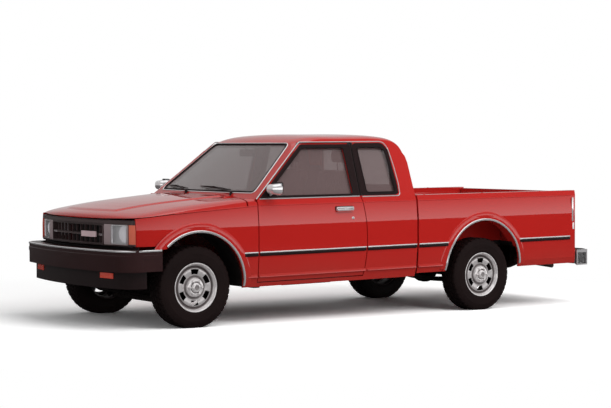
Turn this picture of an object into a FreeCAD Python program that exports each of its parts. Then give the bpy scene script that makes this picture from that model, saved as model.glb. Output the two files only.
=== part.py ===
import FreeCAD, Part
import math
import os

# Compact extended-cab pickup truck, millimetres.
# The body is drawn level: y = 0 at the front axle, z = 0 on the ground, x towards the truck's left.
# settle() then tips it nose down by the rake and moves it so that the truck's middle is at the origin.

V = FreeCAD.Vector

# Whole truck
wheelbase = 2985.0
front_overhang = 740.0
rear_overhang = 1315.0
body_rake_degrees = 0.97
half_width = 832.0
overrun = 400.0
panel_gap = 8.0
skin = 12.0
seat_gap = 0.3
running_clearance = 0.05
side_clearance = 1.0
top_margin = 50.0

# Wheels and tyres; sizes named side_inset or side_outset are measured from the widest line of the body side
tyre_radius = 324.0
tyre_width = 195.0
tyre_squash = 9.0
tyre_shoulder_drop = 14.0
tyre_sidewall_inset = 22.0
tyre_bulge_radius = 262.0
wheel_plane_side_inset = 134.5
rim_radius = 194.0
rim_wall = 6.0
rim_lip_width = 14.0
rim_well_depth = 22.0
rim_disc_inset = 34.0
rim_disc_thickness = 9.0
rim_dish = 26.0
rim_window_count = 6
rim_window_inner = 92.0
rim_window_outer = 150.0
rim_window_inner_width = 44.0
rim_window_outer_width = 62.0
hub_cap_radius = 74.0
hub_cap_depth = 34.0
hub_cap_nose_radius = 38.0
hub_cap_nose_depth = 16.0
hub_radius = 44.0
hub_length = 78.0
brake_disc_radius = 128.0
brake_disc_thickness = 20.0
spindle_margin = 4.0

# Cross-section of the body side
sill_z = 290.0
rocker_inset = 40.0
ledge_z = 372.0
ledge_inset = 15.0
moulding_z = 560.0
crease_z = 777.0
shoulder_z = 940.0
shoulder_inset = 14.0
belt_z = 989.0
belt_inset = 32.0
roof_side_z = 1432.0
roof_side_inset = 196.0
wall = 90.0
pillar = 45.0

# Nose of the body: half-width at stations behind the axle, and the side crease
nose_start_y = -700.0
nose_overlap = 230.0
nose_taper = 130.0
nose_station_shares = [0.0, 0.07, 0.13, 0.215, 0.32, 0.44, 0.6, 0.8, 1.0]
nose_taper_shares = [1.0, 0.68, 0.43, 0.19, 0.055, 0.01, 0.0, 0.0, 0.0]
crease_front_y = -650.0
crease_front_z = 858.0
crease_mid_y = -205.0
crease_mid_z = 896.0
crease_rear_y = 570.0
hood_lip_y = -640.0
hood_corner_back = 120.0
hood_corner_side_inset = 62.0
hood_line_length = 1400.0
hood_line_low_z = 866.0
hood_line_rise = 167.0
hood_line_shares = [(0.0, 0.0), (0.006, 0.08), (0.03, 0.18), (0.13, 0.35), (0.28, 0.53),
                    (0.44, 0.67), (0.68, 0.84), (0.86, 0.935), (1.0, 1.0)]
nose_reach_side_outset = 18.0
nose_fall = 72.0
nose_reach_shares = [0.0, 0.35, 0.61, 0.765, 0.87, 0.94, 1.0]
nose_fall_shares = [0.0, 0.03, 0.1, 0.17, 0.27, 0.5, 1.0]
hood_thickness = 22.0
hood_rear_y = 470.0
hood_hinge_back = 35.0
hood_hinge_side_inset = 272.0
hood_pin_radius = 6.0
hood_arm_width = 26.0
hood_arm_reach = 60.0
hood_hinge_share = 0.78
hood_crease_gap = 5.6
cowl_gap = 13.0

# Cab
cab_rear_y = 2212.0
cab_tuck = 4.0
back_wall = 40.0
firewall_y = 625.0
firewall_thickness = 20.0
floor_top_z = 412.0
floor_bottom_z = 390.0
sill_wall = 130.0
roof_start_y = 950.0
roof_line_length = 1264.0
roof_low_z = 1330.0
roof_rise = 179.0
roof_line_shares = [(0.0, 0.32), (0.05, 0.53), (0.127, 0.78), (0.23, 0.95), (0.435, 0.995),
                    (0.73, 1.0), (0.854, 0.95), (0.918, 0.86), (0.961, 0.68), (0.99, 0.36), (1.0, 0.0)]
roof_reach_side_inset = 172.0
roof_fall = 78.0
roof_reach_shares = [0.0, 0.4, 0.65, 0.8, 0.89, 0.955, 1.0]
roof_fall_shares = [0.0, 0.05, 0.13, 0.23, 0.37, 0.6, 1.0]
roof_front_count = 4
roof_thickness = 24.0
roof_joint_z = 1446.0

# Windscreen: a bowed sheet between a low and a high arc
screen_low_z = 1045.0
screen_low_side_inset = 132.0
screen_low_y = 619.0
screen_low_bow = 55.0
screen_high_z = 1423.0
screen_high_side_inset = 287.0
screen_high_y = 1059.0
screen_high_bow = 40.0
screen_extend_share = 0.2
screen_widen_share = 1.25
screen_frame = 26.0
glass_thickness = 5.0
glass_setback = 3.0

# Rear window
back_glass_side_inset = 332.0
back_glass_low_z = 1060.0
back_glass_high_z = 1375.0

# Doors: outline in the side view
door_front_y = 576.0
door_low_z = 330.0
door_belt_front_z = 982.0
door_pillar_y = 1112.0
door_top_z = 1430.0
door_rear_top_y = 1636.0
door_rear_belt_y = 1620.0
door_rear_bulge_y = 1666.0
door_rear_bulge_z = 640.0
door_rear_low_y = 1635.0
door_flange = 15.0
window_low_z = 1004.0
window_frame = 30.0
window_rear_y = 1556.0
sail_rear_y = 748.0
quarter_front_y = 1690.0
quarter_knee_y = 1985.0
quarter_rear_y = 2030.0
quarter_low_rear_y = 2038.0
quarter_knee_z = 1377.0
quarter_top_z = 1412.0
hinge_outset = 14.0
hinge_setback = 34.0
hinge_pin_radius = 4.0
hinge_barrel_radius = 8.0
hinge_arm_reach = 55.0
hinge_height = 44.0
hinge_low_z = 568.0
hinge_high_z = 728.0
hinge_pocket_margin = 10.0
door_handle_y = 1434.0
door_handle_length = 170.0
door_handle_height = 37.0
door_handle_z = 888.0
door_handle_depth = 10.0
mirror_front_y = 632.0
mirror_length = 110.0
mirror_low_z = 1034.0
mirror_height = 92.0
mirror_inner_side_inset = 32.0
mirror_outer_side_outset = 98.0
mirror_arm_width = 52.0
mirror_arm_height = 44.0
mirror_round = 18.0

# Front end
panel_low_z = 652.0
panel_high_z = 850.0
panel_depth = 40.0
lamp_setback = 12.0
grille_side_inset = 422.0
grille_low_z = 668.0
grille_high_z = 806.0
grille_bar_z = 735.0
grille_bar_height = 16.0
grille_rib_count = 11
grille_rib_width = 5.0
lens_inner_side_inset = 327.0
lens_outer_side_inset = 150.0
lens_low_z = 668.0
lens_high_z = 816.0
lens_depth = 34.0
marker_inner_side_inset = 138.0
support_y = -470.0
support_thickness = 30.0
support_low_z = 420.0
support_side_inset = 132.0
apron_low_z = 500.0
radiator_half_width = 300.0
radiator_low_z = 430.0
radiator_high_z = 800.0
radiator_thickness = 40.0

# Front bumper
bumper_low_z = 462.0
bumper_high_z = 640.0
bumper_corner_side_inset = 32.0
bumper_end_y = -325.0
bumper_depth = 70.0
bumper_horn_width = 48.0
bumper_bow = 70.0
bumper_turn_width = 100.0
bumper_turn_mid = 55.0
bumper_turn_length = 180.0
bumper_side_side_outset = 6.0
valance_low_z = 330.0
valance_setback = 42.0
valance_thickness = 14.0
valance_end_y = -440.0
turn_lamp_side_inset = 282.0
turn_lamp_width = 150.0
turn_lamp_low_z = 408.0
turn_lamp_high_z = 450.0
turn_lamp_proud = 6.0

# Wheel arches; sizes named aft are measured back from the rear axle
arch_radius = 430.0
arch_centre_z = 316.0
arch_lip = 34.0
arch_lip_proud = 7.0
front_arch_y = 5.0
front_well_inner_x = 425.0
rear_arch_aft = -2.0
inner_well_wall = 10.0
fender_front_y = -518.0

# Load bed
bed_gap = 18.0
tailgate_inset = 5.0
bed_rear_aft = 1145.0
bed_low_front_z = 316.0
bed_floor_top_z = 524.0
bed_floor_bottom_z = 500.0
bed_inner_side_inset = 97.0
bed_rail_z = 986.0
bed_front_wall = 40.0
bed_rib_count = 11
bed_rib_height = 8.0
bed_rib_width = 55.0
bed_corner_radius = 40.0
wheelhouse_inner_side_inset = 272.0
wheelhouse_top_z = 785.0
tailgate_side_inset = 112.0
tailgate_thickness = 45.0
tailgate_low_z = 530.0
tailgate_high_z = 975.0
tailgate_pin_radius = 9.0
tailgate_pin_z = 556.0
tail_lamp_low_z = 625.0
tail_lamp_high_z = 925.0
tail_lamp_depth = 60.0
tail_lamp_inner_side_inset = 90.0
tailgate_pin_reach = 40.0
bed_sill_high_z = 512.0
bed_sill_depth = 45.0
bed_strap_depth = 24.0

# Rear bumper
rear_bumper_front_aft = 1180.0
rear_bumper_half_width = 800.0
rear_bumper_low_z = 290.0
rear_bumper_high_z = 435.0
rear_bumper_skin = 10.0
rear_step_half_width = 300.0
rear_step_drop = 34.0
hitch_hole_setback = 65.0
hitch_hole_radius = 12.5
bumper_bracket_width = 50.0

# Chassis
rail_outer_x = 395.0
rail_width = 60.0
rail_front_y = -560.0
rail_depth = 110.0
rail_front_low_z = 390.0
rail_mid_low_z = 280.0
rail_rear_low_z = 390.0
rail_drop_y = 300.0
rail_drop_end_y = 520.0
rail_rise_aft = -705.0
rail_rise_end_aft = -425.0
rail_rear_aft = 1135.0
rail_web = 6.0
cross_shares = [0.0065, 0.5, 0.64, 0.84, 0.955]
cross_width = 60.0
cross_depth = 40.0
gearbox_bridge_y = 844.0
gearbox_bridge_depth = 25.0
spare_carrier_width = 60.0
spare_carrier_depth = 20.0
spare_stud_radius = 15.0

# Front suspension and steering
kingpin_x = 575.0
kingpin_radius = 11.0
kingpin_low_z = 150.0
kingpin_high_z = 470.0
lower_arm_z = 190.0
upper_arm_z = 440.0
arm_thickness = 26.0
arm_inner_half_width = 130.0
arm_outer_half_width = 34.0
arm_inner_x = 380.0
crossmember_half_length = 110.0
crossmember_low_z = 170.0
crossmember_high_z = 326.0
crossmember_half_width = 330.0
knuckle_width = 56.0
knuckle_length = 80.0
spindle_radius = 24.0
steer_arm_length = 130.0
steer_arm_size = 20.0

# Rear axle, springs and driveline
axle_tube_radius = 36.0
differential_radius = 118.0
bowl_shares = [(0.0, 1.0), (0.35, 0.97), (0.7, 0.78), (0.92, 0.5), (1.0, 0.31)]
spring_x = 455.0
spring_width = 60.0
spring_leaf = 10.0
spring_leaf_count = 4
spring_front_aft = -655.0
spring_rear_aft = 655.0
spring_eye_z = 318.0
spring_rear_eye_z = 345.0
spring_seat_length = 90.0
spring_plate = 12.0
spring_eye_radius = 24.0
driveshaft_radius = 35.0
gearbox_rear_y = 1000.0
gearbox_front_y = 352.0
gearbox_width = 200.0
gearbox_low_z = 262.0
gearbox_high_z = 384.0
engine_half_width = 220.0
engine_front_y = -300.0
engine_low_z = 330.0
engine_high_z = 840.0
engine_mount_y = 180.0
engine_mount_length = 60.0
engine_mount_height = 40.0

# Tank, exhaust and spare wheel
tank_front_aft = -1635.0
tank_rear_aft = -835.0
tank_outer_side_inset = 142.0
tank_low_z = 235.0
tank_high_z = 380.0
tank_round = 30.0
exhaust_radius = 22.0
muffler_radius = 62.0
muffler_front_y = 1200.0
muffler_rear_y = 1700.0
exhaust_x = 250.0
exhaust_z = 290.0
exhaust_front_x = 180.0
exhaust_front_y = 170.0
exhaust_rise_aft = -1085.0
exhaust_rise_end_aft = -285.0
exhaust_over_z = 362.0
exhaust_cross_aft = 165.0
exhaust_beside_x = 368.0
exhaust_beside_aft = 395.0
exhaust_turn_aft = 715.0
exhaust_turn_z = 352.0
exhaust_hanger_width = 16.0
exhaust_bend = 36.0
tail_pipe_x = 450.0
tail_pipe_start_aft = 845.0
tail_pipe_start_z = 325.0
tail_pipe_tip_aft = 1205.0
tail_pipe_tip_z = 266.0
spare_aft = 745.0
spare_low_z = 250.0
spare_width = 170.0
spare_hole_radius = 60.0

# Cab interior
dash_rear_y = 900.0
dash_low_z = 660.0
dash_high_z = 985.0
dash_side_inset = 117.0
dash_round = 40.0
seat_x = 350.0
seat_width = 500.0
seat_front_y = 1130.0
seat_rear_y = 1640.0
seat_low_z = 600.0
seat_high_z = 720.0
seat_back_top_z = 1240.0
seat_back_thickness = 130.0
seat_back_lean = 190.0
headrest_width = 260.0
headrest_height = 150.0
headrest_thickness = 80.0
seat_back_top_thickness = 100.0
seat_base_inset = 90.0
seat_base_width = 380.0
steering_x = 350.0
steering_centre_y = 1045.0
steering_centre_z = 965.0
steering_tilt_degrees = 28.0
steering_wheel_radius = 188.0
steering_rim_radius = 14.0
steering_hub_radius = 60.0
steering_hub_depth = 40.0
steering_spoke_radius = 9.0
steering_spoke_degrees = (0.0, 180.0, 270.0)
column_radius = 30.0
column_length = 300.0
shaft_radius = 10.0
shaft_insert = 60.0


# Places worked out from the sizes

rake = math.radians(body_rake_degrees)
axle_z = tyre_radius - tyre_squash
middle_y = (wheelbase + rear_overhang - front_overhang) / 2 - bumper_high_z * math.sin(rake)
rear_arch_y = wheelbase + rear_arch_aft
bed_rear_y = wheelbase + bed_rear_aft
rear_bumper_front_y = wheelbase + rear_bumper_front_aft
rail_rise_y = wheelbase + rail_rise_aft
rail_rise_end_y = wheelbase + rail_rise_end_aft
rail_rear_y = wheelbase + rail_rear_aft
spring_front_y = wheelbase + spring_front_aft
spring_rear_y = wheelbase + spring_rear_aft
exhaust_rise_y = wheelbase + exhaust_rise_aft
exhaust_rise_end_y = wheelbase + exhaust_rise_end_aft
exhaust_cross_y = wheelbase + exhaust_cross_aft
exhaust_beside_y = wheelbase + exhaust_beside_aft
exhaust_turn_y = wheelbase + exhaust_turn_aft
tail_pipe_start_y = wheelbase + tail_pipe_start_aft
tail_pipe_tip_y = wheelbase + tail_pipe_tip_aft
spare_y = wheelbase + spare_aft
hood_corner_x = half_width - hood_corner_side_inset
hood_hinge_x = half_width - hood_hinge_side_inset
roof_reach_x = half_width - roof_reach_side_inset
screen_low_x = half_width - screen_low_side_inset
screen_high_x = half_width - screen_high_side_inset
back_glass_x = half_width - back_glass_side_inset
mirror_inner_x = half_width - mirror_inner_side_inset
lens_inner_x = half_width - lens_inner_side_inset
lens_outer_x = half_width - lens_outer_side_inset
marker_inner_x = half_width - marker_inner_side_inset
grille_half_width = half_width - grille_side_inset
support_half_width = half_width - support_side_inset
bumper_corner_x = half_width - bumper_corner_side_inset
turn_lamp_x = half_width - turn_lamp_side_inset
bed_inner_x = half_width - bed_inner_side_inset
wheelhouse_inner_x = half_width - wheelhouse_inner_side_inset
tailgate_half_width = half_width - tailgate_side_inset
tail_lamp_inner_x = half_width - tail_lamp_inner_side_inset
tank_outer_x = half_width - tank_outer_side_inset
dash_half_width = half_width - dash_side_inset
wheel_plane = half_width - wheel_plane_side_inset
nose_reach_x = half_width + nose_reach_side_outset
mirror_outer_x = half_width + mirror_outer_side_outset
bumper_side_x = half_width + bumper_side_side_outset
nose_length = hood_rear_y + nose_overlap - nose_start_y
tank_front_y = wheelbase + tank_front_aft
tank_rear_y = wheelbase + tank_rear_aft
half_belt = half_width - belt_inset
side_lean = (roof_side_inset - belt_inset) / (roof_side_z - belt_z)
sky_z = roof_low_z + roof_rise + top_margin
bed_front_y = cab_rear_y + bed_gap
aperture_y = door_front_y - panel_gap


# Helpers

def box(x0, x1, y0, y1, z0, z1):
    return Part.makeBox(x1 - x0, y1 - y0, z1 - z0, V(x0, y0, z0))


def face(points):
    return Part.Face(Part.makePolygon(points + points[:1]))


# A side-view outline of (y, z) points, as thick as from x0 to x1.
def slab_x(outline, x0, x1):
    return face([V(x0, y, z) for y, z in outline]).extrude(V(x1 - x0, 0, 0))


# A front-view outline of (x, z) points, as long as from y0 to y1.
def slab_y(outline, y0, y1):
    return face([V(x, y0, z) for x, z in outline]).extrude(V(0, y1 - y0, 0))


# A plan outline of (x, y) points, as high as from z0 to z1.
def slab_z(outline, z0, z1):
    return face([V(x, y, z0) for x, y in outline]).extrude(V(0, 0, z1 - z0))


def rod(start, end, radius):
    run = end - start
    return Part.makeCylinder(radius, run.Length, start, run)


def joined(shapes):
    whole = shapes[0]
    for shape in shapes[1:]:
        whole = whole.fuse(shape)
    return whole.removeSplitter()


def mirrored(shape):
    return shape.mirror(V(0, 0, 0), V(1, 0, 0))


def both_sides(shape):
    return Part.makeCompound([shape, mirrored(shape)])


# A front-view outline and its mirror image as one closed outline, from the left side's points.
def two_sided(points):
    return points + [(-x, z) for x, z in reversed(points)]


def curve(points):
    line = Part.BSplineCurve()
    line.interpolate(points)
    return line.toShape()


# A solid under a crowned sheet: a side-view line, lowered more and more towards the truck's sides.
def dome(line, reach_x, reach_shares, fall, fall_shares, floor_z, back):
    left = list(zip(reach_shares, fall_shares))
    stations = [(-x, f) for x, f in left[:0:-1]] + left
    wires = []
    for x_share, fall_share in stations:
        x = x_share * reach_x
        top = [V(x, y + back(x), z - fall_share * fall) for y, z in line]
        low = [V(x, top[-1].y, floor_z), V(x, top[0].y, floor_z)]
        wires.append(Part.Wire([curve(top), Part.makeLine(top[-1], low[0]),
                                Part.makeLine(low[0], low[1]),
                                Part.makeLine(low[1], top[0])]))
    return Part.makeLoft(wires, True, False)


# A body piece tipped by the body's rake about the front axle's line on the ground.
def tipped(shape):
    turned_shape = shape.copy()
    turned_shape.rotate(V(0, 0, 0), V(1, 0, 0), body_rake_degrees)
    return turned_shape


# A piece that stands level on the ground, as the level body is drawn around it.
def untipped(shape):
    turned_shape = shape.copy()
    turned_shape.rotate(V(0, 0, 0), V(1, 0, 0), -body_rake_degrees)
    return turned_shape


# A body piece, tipped and moved to the truck's middle.
def settle(shape):
    return stand(tipped(shape))


# A shape that stands level on the ground, moved to the truck's middle.
def stand(shape):
    moved = shape.copy()
    moved.translate(V(0, -middle_y, 0))
    return moved


def crease_at(y):
    if y > crease_mid_y:
        share = min(1, (y - crease_mid_y) / (crease_rear_y - crease_mid_y))
        return crease_mid_z + share * (shoulder_z - crease_mid_z)
    share = (y - crease_front_y) / (crease_mid_y - crease_front_y)
    return crease_front_z + share * (crease_mid_z - crease_front_z)


# How far the hood's lip lies behind its middle at a distance x to the side.
def lip_back(x):
    return hood_corner_back * (x / hood_corner_x) ** 2


# The left side of the body's front view, from the sill to above the roof.
def flank_points(inset, shoulder, high_z):
    belt = shoulder + belt_z - shoulder_z
    edge = half_width - inset
    return [(edge - rocker_inset, sill_z), (edge - ledge_inset, ledge_z), (edge, moulding_z),
            (edge, crease_z),
            (edge - shoulder_inset, shoulder), (edge - belt_inset, belt),
            (edge - belt_inset - side_lean * (high_z - belt), high_z)]


# The front of the body between its sides, narrowing towards the nose.
def nose_body(inset):
    wires = []
    for station, taper in zip(nose_station_shares, nose_taper_shares):
        y = nose_start_y + station * nose_length
        points = two_sided(flank_points(inset + taper * nose_taper, crease_at(y), sky_z))
        wires.append(Part.makePolygon([V(x, y, z) for x, z in points + points[:1]]))
    return Part.makeLoft(wires, True, False)


hood_line = [(hood_lip_y + y * hood_line_length, hood_line_low_z + z * hood_line_rise)
             for y, z in hood_line_shares]
roof_line = [(roof_start_y + y * roof_line_length, roof_low_z + z * roof_rise)
             for y, z in roof_line_shares]
nose_dome = dome(hood_line, nose_reach_x, nose_reach_shares, nose_fall, nose_fall_shares, sill_z,
                 lip_back)
roof_dome = dome(roof_line, roof_reach_x, roof_reach_shares, roof_fall, roof_fall_shares, sill_z,
                 lambda x: 0)
nose_outside = nose_body(0)
nose_inside = nose_body(skin)
nose_volume = nose_outside.common(nose_dome)


# What lies in front of the windscreen's surface, which is moved back by a setback.
def ahead_of_screen(setback):
    wires = []
    for share in (-screen_extend_share, 1 + screen_extend_share):
        x = (screen_low_x + share * (screen_high_x - screen_low_x)) * screen_widen_share
        y = screen_low_y + share * (screen_high_y - screen_low_y) + setback
        z = screen_low_z + share * (screen_high_z - screen_low_z)
        bow = screen_low_bow + share * (screen_high_bow - screen_low_bow)
        end_y = y - bow + bow * screen_widen_share ** 2
        arc = Part.Arc(V(-x, end_y, z), V(0, y - bow, z), V(x, end_y, z)).toShape()
        corners = [V(x, end_y, z), V(x, -wheelbase, z), V(-x, -wheelbase, z), V(-x, end_y, z)]
        wires.append(Part.Wire([arc] + [Part.makeLine(a, b) for a, b in zip(corners, corners[1:])]))
    return Part.makeLoft(wires, True, True)


screen_front = ahead_of_screen(0)
cowl_shelf_z = screen_low_z - screen_extend_share * (screen_high_z - screen_low_z)


# Cab

# The part of a body that lies under the roof's sheet, lowered by a drop. Beside and ahead of the
# sheet the body keeps its own side and the windscreen bounds it.
def under_roof(body, drop):
    edge = roof_reach_x - side_clearance
    side_z = belt_z + (half_belt - edge) / side_lean
    high = [(0, side_z)] + [(y, min(z - roof_fall, side_z)) for y, z in roof_line[roof_front_count:]]
    outline = high + [(roof_line[-1][0], sill_z), (0, sill_z)]
    beside = slab_x(outline, edge, half_width + skin)
    ahead = box(-edge, edge, 0, roof_start_y, sill_z, screen_high_z)
    pieces = []
    for zone in (roof_dome, ahead, beside, mirrored(beside)):
        lowered = zone.copy()
        lowered.translate(V(0, 0, -drop))
        pieces.append(body.common(lowered))
    return joined(pieces)


def cab_outside():
    main = slab_y(two_sided(flank_points(0, shoulder_z, sky_z)), aperture_y, cab_rear_y)
    front = slab_y(two_sided(flank_points(skin + cab_tuck, shoulder_z, sky_z)), aperture_y - pillar,
                   aperture_y)
    return under_roof(main.fuse(front), 0).cut(screen_front)


def cab_cavity():
    inner = half_belt - pillar
    points = [(half_width - sill_wall, floor_top_z), (half_width - sill_wall, ledge_z + wall),
              (half_width - wall, ledge_z + wall), (half_width - wall, belt_z), (inner, belt_z),
              (inner - side_lean * (sky_z - belt_z), sky_z)]
    room = slab_y(two_sided(points), firewall_y + firewall_thickness, cab_rear_y - back_wall)
    return under_roof(room, roof_thickness).cut(ahead_of_screen(screen_frame))


# The door's side-view outline, moved out all round.
def door_face(grow):
    lean = (door_pillar_y - door_front_y) / (door_top_z - door_belt_front_z)
    shift = grow * math.hypot(1, lean)
    front = door_front_y - grow
    low = door_low_z - grow
    top = door_top_z + grow
    corners = [V(0, door_rear_low_y + grow, low), V(0, front, low),
               V(0, front, door_belt_front_z + (shift - grow) / lean),
               V(0, door_pillar_y + grow * lean - shift, top), V(0, door_rear_top_y + grow, top),
               V(0, door_rear_belt_y + grow, belt_z)]
    lines = [Part.makeLine(a, b) for a, b in zip(corners, corners[1:])]
    bow = Part.Arc(corners[-1], V(0, door_rear_bulge_y + grow, door_rear_bulge_z), corners[0]).toShape()
    return Part.Face(Part.Wire(lines + [bow]))


# The left door's whole thickness, moved out all round: as thick as the wall below the belt, as the
# pillars above it.
def door_prism(grow):
    wall_x = half_width - wall - max(grow, 0)
    inner = half_belt - pillar - max(grow, 0)
    far = half_width + overrun
    zone = slab_y([(wall_x, 0), (wall_x, belt_z), (inner, belt_z),
                   (inner - side_lean * (sky_z - belt_z), sky_z),
                   (far, sky_z), (far, 0)], 0, cab_rear_y)
    return door_face(grow).extrude(V(far, 0, 0)).common(zone)


def door_window():
    lean = (door_pillar_y - door_front_y) / (door_top_z - door_belt_front_z)
    shift = window_frame * math.hypot(1, lean)
    top = door_top_z - window_frame
    sail_z = door_belt_front_z + (sail_rear_y - shift - door_front_y) / lean
    high_y = door_front_y + (top - door_belt_front_z) * lean + shift
    outline = [(sail_rear_y, window_low_z), (sail_rear_y, sail_z), (high_y, top), (window_rear_y, top),
               (window_rear_y, window_low_z)]
    return slab_x(outline, 0, half_width)


def quarter_window():
    outline = [(quarter_front_y, window_low_z), (quarter_front_y, quarter_top_z),
               (quarter_knee_y, quarter_top_z),
               (quarter_rear_y, quarter_knee_z), (quarter_low_rear_y, window_low_z)]
    return slab_x(outline, 0, half_width)


def screen_opening():
    return slab_y(two_sided([(screen_low_x, screen_low_z), (screen_high_x, screen_high_z)]), 0,
                  door_rear_belt_y)


def back_opening():
    return box(-back_glass_x, back_glass_x, cab_rear_y - back_wall - skin, cab_rear_y + skin,
               back_glass_low_z, back_glass_high_z)


cab_solid = cab_outside()
cab_room = cab_cavity()
cab_wall = cab_solid.cut(cab_room)
hinge_x = half_width - hinge_outset
hinge_y = door_front_y + hinge_setback


# The body's half of a door hinge: an arm from the pillar, inboard, then out to the barrel on the pin.
def hinge_arm(z):
    thick = hinge_barrel_radius
    arm_x = hinge_x - hinge_arm_reach
    barrel = rod(V(hinge_x, hinge_y, z), V(hinge_x, hinge_y, z + hinge_height), hinge_barrel_radius)
    cross = box(arm_x - thick, hinge_x, hinge_y - thick / 2, hinge_y + thick / 2, z, z + hinge_height)
    back = box(arm_x - thick, arm_x, aperture_y - thick / 2, hinge_y + thick / 2, z, z + hinge_height)
    bore = rod(V(hinge_x, hinge_y, z - skin), V(hinge_x, hinge_y, z + hinge_height + skin),
               hinge_pin_radius + running_clearance)
    return joined([barrel, cross, back]).cut(bore)


# The room that the arm sweeps inside the door, and the pin that crosses it.
def hinge_pocket(z):
    margin = hinge_pocket_margin
    return box(hinge_x - hinge_arm_reach - margin * 2, hinge_x + hinge_barrel_radius / 2, aperture_y,
               hinge_y + hinge_barrel_radius + margin, z - margin / 2,
               z + hinge_height + margin / 2).fuse(
        rod(V(hinge_x, hinge_y, z - margin / 2), V(hinge_x, hinge_y, z + hinge_height + margin / 2),
            hinge_barrel_radius + seat_gap * 3)).fuse(
        box(hinge_x - hinge_arm_reach - margin * 2, hinge_x, hinge_y - hinge_arm_reach - margin * 2,
            hinge_y,
            z - margin / 2, z + hinge_height + margin / 2))


def hinge_pin(z):
    return rod(V(hinge_x, hinge_y, z - skin), V(hinge_x, hinge_y, z + hinge_height + skin),
               hinge_pin_radius)


def cab_shell():
    shell = cab_wall.cut(screen_opening()).cut(back_opening())
    under = box(sill_wall - half_width, half_width - sill_wall, 0, wheelbase, 0, floor_bottom_z)
    shell = shell.cut(under)
    roof_cut = box(-half_width, half_width, 0, wheelbase, roof_joint_z, sky_z + overrun)
    shell = shell.cut(roof_cut)
    for hole in (door_prism(panel_gap), quarter_window()):
        shell = shell.cut(hole).cut(mirrored(hole))
    for z in (hinge_low_z, hinge_high_z):
        arm = hinge_arm(z)
        shell = shell.fuse(arm).fuse(mirrored(arm))
    return shell


def roof_panel():
    return cab_wall.common(box(-half_width, half_width, 0, wheelbase, roof_joint_z,
                               sky_z + overrun)).cut(
        both_sides(door_prism(panel_gap)))


def door():
    skin_line = cab_solid.cut(slab_y(two_sided(flank_points(skin, shoulder_z, sky_z)), 0, wheelbase))
    flange = skin_line.common(door_prism(0))
    body = cab_wall.common(door_prism(-door_flange))
    panel = flange.fuse(body).cut(door_window())
    for z in (hinge_low_z, hinge_high_z):
        panel = panel.cut(hinge_pocket(z)).fuse(hinge_pin(z))
    return panel


def door_glass():
    inner = slab_y(two_sided(flank_points(pillar / 2 + glass_thickness, shoulder_z, sky_z)), 0,
                   wheelbase)
    outer = slab_y(two_sided(flank_points(pillar / 2, shoulder_z, sky_z)), 0, wheelbase)
    return outer.cut(inner).common(door_window())


def quarter_glass():
    inner = slab_y(two_sided(flank_points(pillar / 2 + glass_thickness, shoulder_z, sky_z)), 0,
                   wheelbase)
    outer = slab_y(two_sided(flank_points(pillar / 2, shoulder_z, sky_z)), 0, wheelbase)
    return outer.cut(inner).common(quarter_window())


def back_glass():
    return box(-back_glass_x, back_glass_x, cab_rear_y - back_wall / 2 - glass_thickness,
               cab_rear_y - back_wall / 2,
               back_glass_low_z, back_glass_high_z)


def windscreen():
    sheet = ahead_of_screen(glass_setback + glass_thickness).cut(ahead_of_screen(glass_setback))
    return sheet.common(screen_opening())


# Front panels

def fender():
    top = hood_crease_gap
    outline = [(fender_front_y, panel_low_z), (fender_front_y, crease_at(fender_front_y) - top),
               (crease_mid_y, crease_mid_z - top), (hood_rear_y, crease_at(hood_rear_y) - top),
               (hood_rear_y + cowl_gap, crease_at(hood_rear_y) - top),
               (hood_rear_y + cowl_gap, cowl_shelf_z), (aperture_y, cowl_shelf_z), (aperture_y, sill_z),
               (front_arch_y, sill_z), (front_arch_y, panel_low_z)]
    shell = nose_outside.cut(nose_inside).common(slab_x(outline, nose_reach_x / 2,
                                                        nose_reach_x + overrun))
    return arch_trimmed(shell, front_arch_y, nose_outside, nose_body(-arch_lip_proud), panel_low_z,
                        sill_z)


# A side panel with its round arch and the arch's raised lip: what the grown body adds in a ring round
# the arch.
def arch_trimmed(shell, arch_y, solid, grown, fore_low_z, aft_low_z):
    ring = arch_radius + arch_lip
    zone = rod(V(0, arch_y, arch_centre_z), V(half_width + overrun, arch_y, arch_centre_z), ring)
    hole = rod(V(0, arch_y, arch_centre_z), V(half_width + overrun, arch_y, arch_centre_z), arch_radius)
    fore = box(half_belt, half_width + overrun, arch_y - ring, arch_y, fore_low_z, sky_z)
    aft = box(half_belt, half_width + overrun, arch_y, arch_y + ring, aft_low_z, sky_z)
    lip = grown.cut(solid).common(zone).common(fore.fuse(aft))
    return shell.fuse(lip).cut(hole)


def hood():
    inner_dome = nose_dome.copy()
    inner_dome.translate(V(0, hood_thickness, -hood_thickness))
    shell = nose_volume.cut(inner_dome.common(nose_body(hood_thickness)))
    outline = [(nose_start_y, crease_at(nose_start_y)), (crease_mid_y, crease_mid_z),
               (hood_rear_y, crease_at(hood_rear_y)), (hood_rear_y, sky_z), (nose_start_y, sky_z)]
    panel = shell.common(slab_x(outline, -nose_reach_x, nose_reach_x))
    for side in (-1, 1):
        panel = panel.fuse(hood_arm(side * hood_hinge_x))
    return panel


hood_hinge_y = hood_rear_y + hood_hinge_back
hood_hinge_z = hood_line_low_z + hood_line_rise * hood_hinge_share


def hood_arm(x):
    half = hood_arm_width / 2
    barrel = hood_pin_radius * 2
    outline = [(hood_rear_y - hood_arm_reach, hood_hinge_z - barrel),
               (hood_rear_y - hood_arm_reach, hood_hinge_z + half),
               (hood_hinge_y, hood_hinge_z + barrel), (hood_hinge_y, hood_hinge_z - barrel)]
    plate = slab_x(outline, x - half, x + half)
    eye = rod(V(x - half, hood_hinge_y, hood_hinge_z), V(x + half, hood_hinge_y, hood_hinge_z), barrel)
    bore = rod(V(x - half - skin, hood_hinge_y, hood_hinge_z),
               V(x + half + skin, hood_hinge_y, hood_hinge_z),
               hood_pin_radius + running_clearance)
    return plate.fuse(eye).cut(bore)


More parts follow.
